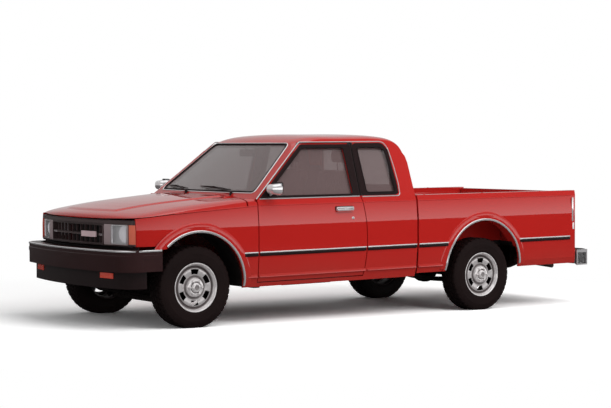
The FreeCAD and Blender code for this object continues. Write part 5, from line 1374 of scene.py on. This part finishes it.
def addFlares():
    for name, y in (("front", truck["frontArchY"]), ("rear", truck["rearArchY"])):
        start, end = (math.radians(degrees) for degrees in flare[name])
        piece = newCurve("flare", False)
        addLoop(piece, [(proud, y + radius * math.cos(start), truck["archZ"] + radius * math.sin(start))
                        for radius, proud in flare["profile"]], True)
        piece = toMesh(piece)
        bpy.ops.object.mode_set(mode="EDIT")
        bpy.ops.mesh.select_all(action="SELECT")
        bpy.ops.mesh.spin(steps=flare["steps"], angle=start - end, center=(0, y, truck["archZ"]),
                          axis=(1, 0, 0))
        bpy.ops.object.mode_set(mode="OBJECT")
        ahead, behind = flare["feet"][name]
        for point in piece.data.vertices:
            point.co.z = max(point.co.z, ahead if point.co.y < y else behind)
            point.co.x += flankX(min(point.co.z, flare["upright"]))
        workPoints(piece, lambda place: True, lambda: bpy.ops.mesh.dissolve_degenerate(threshold=0.0002))
        outward(piece)
        smooth(piece, 50)
        fitPair(piece, name + "Flare", redPaint, "body_paint")


hoodPanel = {
    "front": -0.555, "back": 0.452, "half": 0.492, "halfFront": 0.400, "slope": 0.036, "rise": 0.0095,
    "sunk": 0.0010, "bow": 0.055, "frontSlope": 0.6, "margin": 0.008, "wall": 0.006, "start": 1.2,
    "across": 120, "along": 110,
}


# How far a place lies inside the raised panel's edge: its sides spread towards the windscreen.
def insidePanel(x, y):
    share = (y - hoodPanel["front"]) / (hoodPanel["back"] - hoodPanel["front"])
    half = hoodPanel["halfFront"] + share * (hoodPanel["half"] - hoodPanel["halfFront"])
    bow = hoodPanel["bow"] * (x / half) ** 2
    return min(half - abs(x), (y - hoodPanel["front"] - bow) * hoodPanel["frontSlope"])


# A fine flat grid that is laid on the hood later.
def addGrid(name, sizes):
    front, back = sizes["front"], sizes["back"]
    bpy.ops.mesh.primitive_grid_add(x_subdivisions=sizes["across"], y_subdivisions=sizes["along"], size=1,
                                    location=(0, (front + back) / 2, sizes["start"]))
    piece = bpy.context.object
    piece.name = name
    piece.scale = (sizes["half"] * 2, back - front, 1)
    applyPlace(piece)
    return piece


def dropOnHood(piece, down):
    modify(piece, "SHRINKWRAP", target=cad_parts["hood"], wrap_method="PROJECT", use_project_z=True,
           use_negative_direction=down, use_positive_direction=not down)


def addHoodPanel():
    piece = addGrid("hoodPanel", hoodPanel)
    workPoints(piece, lambda place: insidePanel(place.x, place.y) < -hoodPanel["margin"],
               lambda: bpy.ops.mesh.delete(type="VERT"))
    shares = [min(1.0, max(0.0, insidePanel(point.co.x, point.co.y) / hoodPanel["slope"]))
              for point in piece.data.vertices]
    settle(piece)
    dropOnHood(piece, True)
    modify(piece, "SMOOTH", factor=0.5, iterations=12)
    for point, share in zip(piece.data.vertices, shares):
        point.co.z += hoodPanel["rise"] * share * share * (3 - 2 * share) - hoodPanel["sunk"]
    modify(piece, "SOLIDIFY", thickness=hoodPanel["wall"], offset=-1)
    smooth(piece, 60)
    fit(piece, redPaint, "body_paint", "hood")


# Pressed ribs under the hood
hoodLining = {
    "start": 0.500, "front": -0.530, "back": 0.400, "half": 0.610, "edge": 0.070, "spine": 0.045,
    "beam": (-0.050, 0.040), "fade": 0.014, "depth": 0.009, "off": 0.0005, "wall": 0.002,
    "across": 110, "along": 90,
}


# How deep a place lies in a rib, from 0 to 1.
def onRib(x, y):
    edge = min(hoodLining["half"] - abs(x), y - hoodLining["front"], hoodLining["back"] - y)
    middle, half = hoodLining["beam"]
    off = min(edge - hoodLining["edge"], abs(x) - hoodLining["spine"], abs(y - middle) - half)
    return 1 - min(1.0, max(0.0, off / hoodLining["fade"]))


def addHoodLining():
    piece = addGrid("hoodLining", hoodLining)
    shares = [onRib(point.co.x, point.co.y) for point in piece.data.vertices]
    settle(piece)
    dropOnHood(piece, False)
    for point, share in zip(piece.data.vertices, shares):
        point.co.z -= hoodLining["depth"] * share + hoodLining["off"]
    modify(piece, "SOLIDIFY", thickness=hoodLining["wall"], offset=0)
    smooth(piece, 40)
    fit(piece, redPaint, "body_paint", "hood")


# Seats: crowned cushions blown up as cloth, then sewn into pleats

seat = {
    "x": 0.350, "half": 0.240, "cushion": ((1.140, 1.560), (0.612, 0.712)),
    "back": ((1.515, 1.605), (0.640, 1.225)), "lean": 17.5, "rest": ((1.725, 1.790), (1.262, 1.372)),
    "restHalf": 0.118, "edge": 0.034, "voxel": 0.013, "pressure": 4.0, "most": 0.016, "frames": 20,
    "pleats": [-0.150, -0.105, -0.060, -0.015, 0.030, 0.075, 0.120, 0.150], "pleatDepth": 0.0050,
    "pleatWidth": 0.0075, "plain": 0.055, "fill": 0.8,
}
seatPost = {"Inner": [("rod", (0.300, 1.7615, 1.20), (0.300, 1.7615, 1.29), 0.006, 16, 0.001)],
            "Outer": [("rod", (0.400, 1.7615, 1.20), (0.400, 1.7615, 1.29), 0.006, 16, 0.001)]}
seatRail = {
    "Inner": [("block", (0.160, 1.17, 0.412), (0.200, 1.58, 0.440), 0.004),
              ("block", (0.168, 1.22, 0.436), (0.192, 1.54, 0.612), 0.004)],
    "Outer": [("block", (0.500, 1.17, 0.412), (0.540, 1.58, 0.440), 0.004),
              ("block", (0.508, 1.22, 0.436), (0.532, 1.54, 0.612), 0.004)],
}
seatSkirt = [("block", (0.135, 1.165, 0.560), (0.565, 1.575, 0.622), 0.014, 3)]


def blowUp(piece):
    modify(piece, "REMESH", mode="VOXEL", voxel_size=seat["voxel"])
    first = [point.co.copy() for point in piece.data.vertices]
    cloth = piece.modifiers.new("Cloth", "CLOTH")
    cloth.settings.use_pressure = True
    cloth.settings.uniform_pressure_force = seat["pressure"]
    cloth.settings.effector_weights.gravity = 0
    cloth.point_cache.frame_start = 1
    cloth.point_cache.frame_end = seat["frames"]
    for number in range(1, seat["frames"] + 1):
        bpy.context.scene.frame_set(number)
    pickOnly(piece)
    bpy.ops.object.modifier_apply(modifier=cloth.name)
    bpy.context.scene.frame_set(1)
    for point, start in zip(piece.data.vertices, first):
        move = point.co - start
        if move.length > seat["most"]:
            point.co = start + move * (seat["most"] / move.length)
    modify(piece, "SUBSURF", levels=1)
    modify(piece, "SMOOTH", factor=0.5, iterations=4)
    return piece


def sew(piece, x, facing):
    for point in piece.data.vertices:
        across = point.co.x - x
        if abs(across) > seat["half"] - seat["plain"]:
            continue
        towards = max(0.0, point.normal.dot(facing))
        near = min(abs(across - line) for line in seat["pleats"])
        point.co -= facing * (towards * seat["pleatDepth"] * math.exp(-(near / seat["pleatWidth"]) ** 2))


def addPad(name, x, half, rangeY, rangeZ, facing):
    low, high = ((x + side * half, y, z) for side, y, z in zip((-1, 1), rangeY, rangeZ))
    piece = addBlock(name, low, high, seat["edge"], 4)
    blowUp(piece)
    if facing:
        sew(piece, x, Vector(facing))
    return piece


def addSeats():
    x = seat["x"]
    cushion = addPad("cushion", x, seat["half"], *seat["cushion"], (0, 0, 1))
    back = addPad("back", x, seat["half"], *seat["back"], (0, -1, 0))
    turn = Matrix.Rotation(-math.radians(seat["lean"]), 4, "X")
    foot = Matrix.Translation((0, seat["back"][0][1], seat["back"][1][0]))
    back.matrix_world = foot @ turn @ foot.inverted()
    applyPlace(back)
    rest = addPad("rest", x, seat["restHalf"], *seat["rest"], None)
    whole = join([cushion, back, rest], "seats")
    twin = otherSide(whole, "seats")
    both = join([whole, twin], "seatPads")
    settle(both)
    smooth(both, 60)
    fit(both, seatCloth, "seat_fabric")
    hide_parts("seats")
    for side in ("Inner", "Outer"):
        fitPair(build("seatPost", seatPost[side]), "seatPost" + side, chrome, "bumper_chrome")
        fitPair(build("seatRail", seatRail[side]), "seatRail" + side, steelBlack, "chassis_steel")
    fitPair(build("seatSkirt", seatSkirt), "seatSkirt", trimBlack, "black_plastic")


addFlares()
addHoodPanel()
addHoodLining()
addSeats()
print("seats made")


# Cabin: dash, wheel, door cards, lever, mirror, visors

dash = {
    "y": 0.900, "brow": ((0.165, 0.730, 0.840), (0.545, 0.950, 1.017)), "browEdge": 0.020, "browWall": 0.004,
    "browSunk": 0.045, "dials": [(0.275, 0.052), (0.405, 0.052), (0.488, 0.026)], "dialZ": 0.915,
    "mouldings": [
        ("block", (-0.690, 0.870, 0.690), (0.690, 0.906, 0.770), 0.012, 3),
        ("block", (-0.700, 0.845, 0.955), (0.700, 0.910, 0.992), 0.014, 3),
        ("block", (-0.610, 0.880, 0.700), (-0.190, 0.914, 0.858), 0.010, 3),
        ("block", (-0.110, 0.880, 0.660), (0.110, 0.922, 0.960), 0.012, 3)],
    "fittings": [
        ("block", (0.190, 0.896, 0.852), (0.520, 0.906, 0.982), 0.003),
        ("block", (-0.090, 0.916, 0.800), (0.090, 0.927, 0.852), 0.003),
        ("block", (-0.425, 0.910, 0.826), (-0.375, 0.919, 0.842), 0.003),
        ("rod", (-0.060, 0.918, 0.730), (-0.060, 0.940, 0.730), 0.016, 24, 0.003, 0.013),
        ("rod", (0.000, 0.918, 0.730), (0.000, 0.940, 0.730), 0.016, 24, 0.003, 0.013),
        ("rod", (0.060, 0.918, 0.730), (0.060, 0.940, 0.730), 0.016, 24, 0.003, 0.013),
        ("rod", (-0.070, 0.924, 0.826), (-0.070, 0.937, 0.826), 0.010, 24, 0.002),
        ("rod", (0.070, 0.924, 0.826), (0.070, 0.937, 0.826), 0.010, 24, 0.002)],
    "vents": [(-0.640, 0.912), (-0.095, 0.924), (0.095, 0.924), (0.640, 0.912)],
    "vent": ("block", (-0.042, -0.014, 0.910), (0.042, 0.004, 0.952), 0.004),
    "slat": ("block", (-0.036, 0.002, 0.916), (0.036, 0.008, 0.919), 0.001, 1), "slats": 4,
    "slatPitch": 0.010,
}
dial = {"sides": 40, "proud": 0.009, "sunk": 0.005, "ring": 0.12, "marks": 9, "from": 225.0, "turn": 33.75,
        "near": 0.62, "far": 0.8, "markProud": 0.0055, "markRadius": 0.0011}


def addDial(x, z, y, radius):
    ring = addRod("ring", (x, y + 0.001, z), (x, y + dial["proud"], z), radius, dial["sides"], 0.002)
    workFaces(ring, lambda centre, normal: normal.y > 0.9,
              lambda: bpy.ops.mesh.inset(thickness=radius * dial["ring"], depth=-dial["sunk"]))
    parts = [ring]
    for k in range(dial["marks"]):
        turn = math.radians(dial["from"] - dial["turn"] * k)
        across, up = radius * math.cos(turn), radius * math.sin(turn)
        ends = [(x + across * share, y + dial["markProud"], z + up * share)
                for share in (dial["near"], dial["far"])]
        parts.append(addWire("mark", ends, dial["markRadius"], kind="POLY", rounds=1))
    return join(parts, "dial")


def addDash():
    brow = addBlock("brow", *dash["brow"], dash["browEdge"], 4)
    middle = (dash["brow"][0][0] + dash["brow"][1][0]) / 2
    workFaces(brow, lambda centre, normal: normal.y > 0.95,
              lambda: bpy.ops.mesh.inset(thickness=dash["browWall"], depth=0.0))
    inwards = {"value": (0, -dash["browSunk"], 0)}
    workFaces(brow, lambda centre, normal: normal.y > 0.95 and abs(centre.x - middle) < 0.02,
              lambda: bpy.ops.mesh.extrude_region_move(TRANSFORM_OT_translate=inwards))
    whole = join([brow, build("mouldings", dash["mouldings"])], "dashMouldings")
    fitOne(whole, dashPlastic, "dash_plastic")
    parts = [addDial(x, dash["dialZ"], dash["y"] + 0.004, radius) for x, radius in dash["dials"]]
    parts.append(build("fittings", dash["fittings"]))
    for x, y in dash["vents"]:
        slats = [moved(dash["slat"], x, y, dash["slatPitch"] * k) for k in range(dash["slats"])]
        parts.append(build("vent", [moved(dash["vent"], x, y)] + slats))
    fitOne(join(parts, "dashFittings"), trimBlack, "black_plastic")


wheelSet = {
    "centre": (0.350, 1.045, 0.965), "tilt": 28.0, "rim": 0.188, "grip": 0.0162, "steps": 60,
    "pad": ((-0.086, -0.062, -0.012), (0.086, 0.062, 0.010)), "spokes": [(-1, 0), (1, 0), (0, -1)],
    "spoke": [(0.05, 0.04, 0.0), (0.12, 0.11, -0.002), (0.184, 0.184, 0.0)], "spokeRadius": 0.0125,
    "column": 0.085, "shroud": 0.150, "shroudRadius": 0.048, "shroudTip": 0.040, "stalkRadius": 0.0055,
    "stalk": [(0.030, -0.03, 0.0), (0.09, -0.018, 0.006), (0.150, 0.004, 0.018)],
    "stalkEnd": [(0.120, 0.004, 0.015), (0.158, 0.004, 0.018)], "endRadius": 0.009,
}


def layOnWheel(piece):
    piece.matrix_world = Matrix.Translation(wheelSet["centre"]) @ Matrix.Rotation(
        math.radians(wheelSet["tilt"] + 270), 4, "X")
    applyPlace(piece)


def addSteering():
    parts = [addBlock("pad", *wheelSet["pad"], 0.012, 4)]
    for x, y in wheelSet["spokes"]:
        line = [(x * across, y * along, z) for across, along, z in wheelSet["spoke"]]
        parts.append(addWire("spoke", line, wheelSet["spokeRadius"]))
    turns = [2 * math.pi * k / wheelSet["steps"] for k in range(wheelSet["steps"])]
    circle = [(wheelSet["rim"] * math.cos(turn), wheelSet["rim"] * math.sin(turn), 0.0) for turn in turns]
    parts.append(addWire("grip", circle, wheelSet["grip"], True, rounds=5))
    whole = join(parts, "wheelPad")
    layOnWheel(whole)
    fitOne(whole, trimBlack, "black_plastic", "steering_wheel")
    tilt = math.radians(wheelSet["tilt"])
    axis = Vector((0, math.cos(tilt), math.sin(tilt)))
    root = Vector(wheelSet["centre"]) - axis * wheelSet["column"]
    parts = [addRod("shroud", root - axis * wheelSet["shroud"], root, wheelSet["shroudRadius"], 32, 0.010,
                    wheelSet["shroudTip"])]
    for side in (-1, 1):
        stalk, end = ([root + Vector((side * x, y, z)) for x, y, z in wheelSet[key]]
                      for key in ("stalk", "stalkEnd"))
        parts += [addWire("stalk", stalk, wheelSet["stalkRadius"]),
                  addRod("end", *end, wheelSet["endRadius"], 20, 0.003)]
    fitOne(join(parts, "columnShroud"), trimBlack, "black_plastic")


doorCard = {
    "cardCloth": (seatCloth, "seat_fabric", [
        ("block", (0.722, 0.720, 0.700), (0.732, 1.525, 0.880), 0.006, 3)]),
    "doorCard": (dashPlastic, "dash_plastic", [
        ("block", (0.728, 0.660, 0.372), (0.744, 1.575, 0.945), 0.007, 3),
        ("block", (0.676, 1.130, 0.630), (0.732, 1.480, 0.672), 0.014, 4),
        ("block", (0.706, 0.740, 0.400), (0.732, 1.300, 0.520), 0.010, 3),
        ("rod", (0.716, 1.060, 0.640), (0.732, 1.060, 0.640), 0.026, 32, 0.003)]),
    "windowCrank": (chrome, "bumper_chrome", [
        ("wire", [(0.714, 1.060, 0.640), (0.698, 1.10, 0.662), (0.696, 1.165, 0.690)], 0.006),
        ("rod", (0.666, 1.165, 0.690), (0.700, 1.165, 0.690), 0.012, 24, 0.004),
        ("block", (0.714, 1.240, 0.780), (0.724, 1.340, 0.806), 0.004, 3)]),
}
fittings = {
    "gearLever": (trimBlack, "black_plastic", [
        ("rod", (0.0, 1.010, 0.412), (0.0, 1.010, 0.500), 0.070, 32, 0.012, 0.020),
        ("wire", [(0.0, 1.010, 0.480), (0.0, 1.000, 0.600), (0.0, 1.030, 0.715)], 0.008),
        ("rod", (0.0, 1.030, 0.700), (0.0, 1.038, 0.748), 0.021, 28, 0.009, 0.023),
        ("block", (-0.130, 0.650, 0.405), (0.130, 1.180, 0.448), 0.018, 4)]),
    "cabMirror": (trimBlack, "black_plastic", [
        ("wire", [(0.0, 1.000, 1.404), (0.0, 1.018, 1.385), (0.0, 1.028, 1.360)], 0.006),
        ("block", (-0.115, 1.018, 1.322), (0.115, 1.040, 1.384), 0.010, 4)]),
    "cabMirrorGlass": (mirrorFinish, "bumper_chrome", [
        ("block", (-0.106, 1.038, 1.330), (0.106, 1.0425, 1.376), 0.003)]),
}
visor = [("block", (0.110, 1.085, 1.425), (0.500, 1.235, 1.441), 0.007, 3),
         ("wire", [(0.09, 1.088, 1.433), (0.52, 1.088, 1.433)], 0.005, False, "POLY")]
pedals = {
    "places": [("Clutch", 0.430), ("Brake", 0.320), ("Gas", 0.210)],
    "arm": [(0.690, 0.660), (0.760, 0.590), (0.800, 0.520)], "armRadius": 0.007,
    "foot": ("block", (-0.028, 0.792, 0.486), (0.028, 0.806, 0.540), 0.005, 3),
}


# Builds each group of a dictionary in the middle of the truck.
def addGroups(groups):
    for name, (finish, slot, rows) in groups.items():
        fitOne(build(name, rows), finish, slot)


def addCabinFittings():
    addGroups(fittings)
    fitPair(build("sunVisor", visor), "sunVisor", dashPlastic, "dash_plastic")
    for side, x in pedals["places"]:
        arm = ("wire", [(x, y, z) for y, z in pedals["arm"]], pedals["armRadius"])
        fitOne(build("pedal" + side, [arm, moved(pedals["foot"], x)]), trimBlack, "black_plastic")


addDash()
addSteering()
addPairs(doorCard, "door")
addCabinFittings()
print("cabin made")


# Under the hood: valve cover, air cleaner, battery, bottle, hoses, fan

engine = {
    "valveCover": (castMetal, "cast_metal", [
        ("block", (-0.095, -0.240, 0.836), (0.095, 0.250, 0.882), 0.016, 4),
        ("rod", (0.0, -0.16, 0.880), (0.0, -0.16, 0.890), 0.011, 6, 0.002),
        ("rod", (0.0, 0.0, 0.880), (0.0, 0.0, 0.890), 0.011, 6, 0.002),
        ("rod", (0.0, 0.16, 0.880), (0.0, 0.16, 0.890), 0.011, 6, 0.002),
        ("rod", (0.045, -0.19, 0.880), (0.045, -0.19, 0.900), 0.026, 24, 0.004, 0.023)] + [
        ("wire", [(-0.080, y, 0.830), (-0.170, y, 0.852), (-0.205, y, 0.780)], 0.016)
        for y in (-0.11, -0.055, 0.0, 0.055, 0.11)]),
    "airCleaner": (trimBlack, "black_plastic", [
        ("rod", (0.115, 0.060, 0.844), (0.115, 0.060, 0.900), 0.118, 56, 0.012, 0.112),
        ("rod", (0.115, 0.060, 0.898), (0.115, 0.060, 0.908), 0.121, 56, 0.004, 0.110),
        ("rod", (0.115, 0.060, 0.906), (0.115, 0.060, 0.918), 0.010, 6, 0.003),
        ("wire", [(0.190, -0.030, 0.870), (0.270, -0.140, 0.870), (0.330, -0.330, 0.842)], 0.030, False,
         "NURBS", 6)]),
    "battery": (trimBlack, "black_plastic", [
        ("block", (-0.405, -0.300, 0.640), (-0.235, -0.060, 0.830), 0.008, 3),
        ("block", (-0.410, -0.305, 0.826), (-0.230, -0.055, 0.846), 0.006, 3),
        ("block", (-0.418, -0.315, 0.560), (-0.230, -0.045, 0.646), 0.006),
        ("rod", (-0.260, -0.265, 0.844), (-0.260, -0.265, 0.862), 0.010, 20, 0.002, 0.008),
        ("rod", (-0.260, -0.095, 0.844), (-0.260, -0.095, 0.862), 0.010, 20, 0.002, 0.008)]),
    "washerBottle": (whiteLens, "lens_clear", [
        ("block", (0.330, -0.250, 0.700), (0.412, -0.090, 0.835), 0.022, 5),
        ("rod", (0.370, -0.170, 0.832), (0.370, -0.170, 0.852), 0.022, 24, 0.004)]),
    "hoses": (sealRubber, "black_plastic", [
        ("wire", [(0.150, -0.434, 0.770), (0.150, -0.370, 0.790), (0.090, -0.320, 0.800),
                  (0.040, -0.294, 0.790)], 0.020, False, "NURBS", 5),
        ("wire", [(-0.200, -0.434, 0.480), (-0.200, -0.360, 0.470), (-0.140, -0.294, 0.500)], 0.020, False,
         "NURBS", 5),
        ("wire", [(-0.260, -0.265, 0.856), (-0.200, -0.200, 0.880), (-0.170, -0.100, 0.870),
                  (-0.160, 0.020, 0.842)], 0.006)]),
}
radiatorGroups = {
    "radiatorTop": (radiatorMetal, "radiator_metal", [
        ("rod", (0.0, -0.450, 0.796), (0.0, -0.450, 0.816), 0.024, 24, 0.004),
        ("block", (-0.290, -0.466, 0.770), (0.290, -0.434, 0.802), 0.008, 3)]),
    "grilleStay0": (steelBlack, "chassis_steel", [
        ("wire", [(-0.150, -0.505, 0.838), (-0.150, -0.520, 0.700)], 0.006, False, "POLY")]),
    "grilleStay1": (steelBlack, "chassis_steel", [
        ("wire", [(0.150, -0.505, 0.838), (0.150, -0.520, 0.700)], 0.006, False, "POLY")]),
}
fan = {"middle": (0.0, -0.330, 0.620), "hub": ((0, -0.348, 0.620), (0, -0.296, 0.620)), "hubRadius": 0.045,
       "blades": 6, "blade": ((-0.028, -0.0035, 0.035), (0.028, 0.0035, 0.180)), "pitch": 24.0}


def addFan():
    parts = [addRod("fanHub", *fan["hub"], fan["hubRadius"], 32, 0.005)]
    for k in range(fan["blades"]):
        blade = addBlock("blade", *fan["blade"], 0.003)
        turn = Matrix.Rotation(2 * math.pi * k / fan["blades"], 4, "Y")
        pitch = Matrix.Rotation(math.radians(fan["pitch"]), 4, "Z")
        blade.matrix_world = Matrix.Translation(fan["middle"]) @ turn @ pitch
        applyPlace(blade)
        parts.append(blade)
    fitOne(join(parts, "coolingFan"), trimBlack, "black_plastic")


# Below: shock absorbers, spring clamps, brake plates and the sway bar

shocks = {
    "front": ((0.405, 0.085, 0.232), (0.385, 0.060, 0.480)),
    "rear": ((0.520, 3.045, 0.270), (0.425, 2.825, 0.500)),
    "shares": [(0.0, 0.55, 0.024, 28, 0.004), (0.5, 0.95, 0.029, 28, 0.003), (0.9, 1.0, 0.008, 16)],
    "eyeHalf": 0.016, "eyeRadius": 0.020,
}
clamp = {
    "across": 0.030, "rodRadius": 0.0065, "nutX": (0.420, 0.490),
    "line": [(0.420, 0.245), (0.420, 0.335), (0.455, 0.362), (0.490, 0.335), (0.490, 0.245)],
    "nut": ("rod", (0.0, 0.0, 0.243), (0.0, 0.0, 0.258), 0.012, 6, 0.002),
}
brakePlate = {"x": (0.585, 0.604), "radius": 0.122}
swayBar = [
    ("wire", [(-0.330, -0.200, 0.250), (-0.320, -0.235, 0.235), (0.320, -0.235, 0.235),
              (0.330, -0.200, 0.250)], 0.011, False, "POLY"),
    ("wire", [(-0.330, -0.200, 0.250), (-0.380, -0.10, 0.232), (-0.400, -0.030, 0.205)], 0.011),
    ("wire", [(0.330, -0.200, 0.250), (0.380, -0.10, 0.232), (0.400, -0.030, 0.205)], 0.011)]


def addUnderside():
    for name in ("front", "rear"):
        foot, head = (Vector(place) for place in shocks[name])
        half = Vector((shocks["eyeHalf"], 0, 0))
        rows = [("rod", foot.lerp(head, low), foot.lerp(head, high), *others)
                for low, high, *others in shocks["shares"]]
        rows.append(("rod", foot - half, foot + half, shocks["eyeRadius"], 24, 0.003))
        fitPair(build("shock", rows), name + "Shock", steelBlack, "chassis_steel")
    rows = []
    for across in (-clamp["across"], clamp["across"]):
        y = truck["wheelbase"] + across
        rows.append(("wire", [(x, y, z) for x, z in clamp["line"]], clamp["rodRadius"]))
        rows += [moved(clamp["nut"], x, y) for x in clamp["nutX"]]
    fitPair(build("clamps", rows), "springClamp", steelBlack, "chassis_steel", put=stand)
    ends = [(x, truck["wheelbase"], truck["axleZ"]) for x in brakePlate["x"]]
    plate = addRod("back", *ends, brakePlate["radius"], 48, 0.006)
    fitPair(plate, "brakePlate", steelBlack, "chassis_steel", put=stand)
    fitOne(build("swayBar", swayBar), steelBlack, "chassis_steel", put=stand)


bed = {
    "hooks": (2.330, 4.000), "hookRadius": 0.006,
    "hook": [(0.728, -0.030, 0.905), (0.712, -0.020, 0.885), (0.706, 0.0, 0.878), (0.712, 0.020, 0.885),
             (0.728, 0.030, 0.905)],
    "hookPlate": ("block", (0.728, -0.045, 0.890), (0.7375, 0.045, 0.930), 0.003),
    "press": [(-0.600, 0.600), (0.600, 0.600), (0.600, 0.900), (-0.600, 0.900)], "pressY": 4.0815,
    "plugs": (2.330, 3.000, 3.700),
    "plug": ("rod", (0.782, 0.0, 0.985), (0.782, 0.0, 0.9885), 0.006, 16, 0.001),
}


def addBedDetails():
    for number, y in enumerate(bed["hooks"]):
        hook = ("wire", [(x, y + along, z) for x, along, z in bed["hook"]], bed["hookRadius"])
        whole = build("tieHook", [hook, moved(bed["hookPlate"], 0, y)])
        fitPair(whole, "tieHook%d" % number, redPaint, "body_paint")
    inner = addStrip("gateInside", roundCorners(bed["press"], 0.03), 0.020, 0.004, True)
    layInFront(inner, bed["pressY"])
    fitOne(inner, redPaint, "body_paint", "tailgate")
    for y in bed["plugs"]:
        plug = build("plug", [moved(bed["plug"], 0, y)])
        fitPair(plug, "railPlug%d" % int(y * 100), redPaint, "body_paint")


addGroups(engine)
addFan()
addGroups(radiatorGroups)
addUnderside()
addBedDetails()
print("engine bay and underside made")
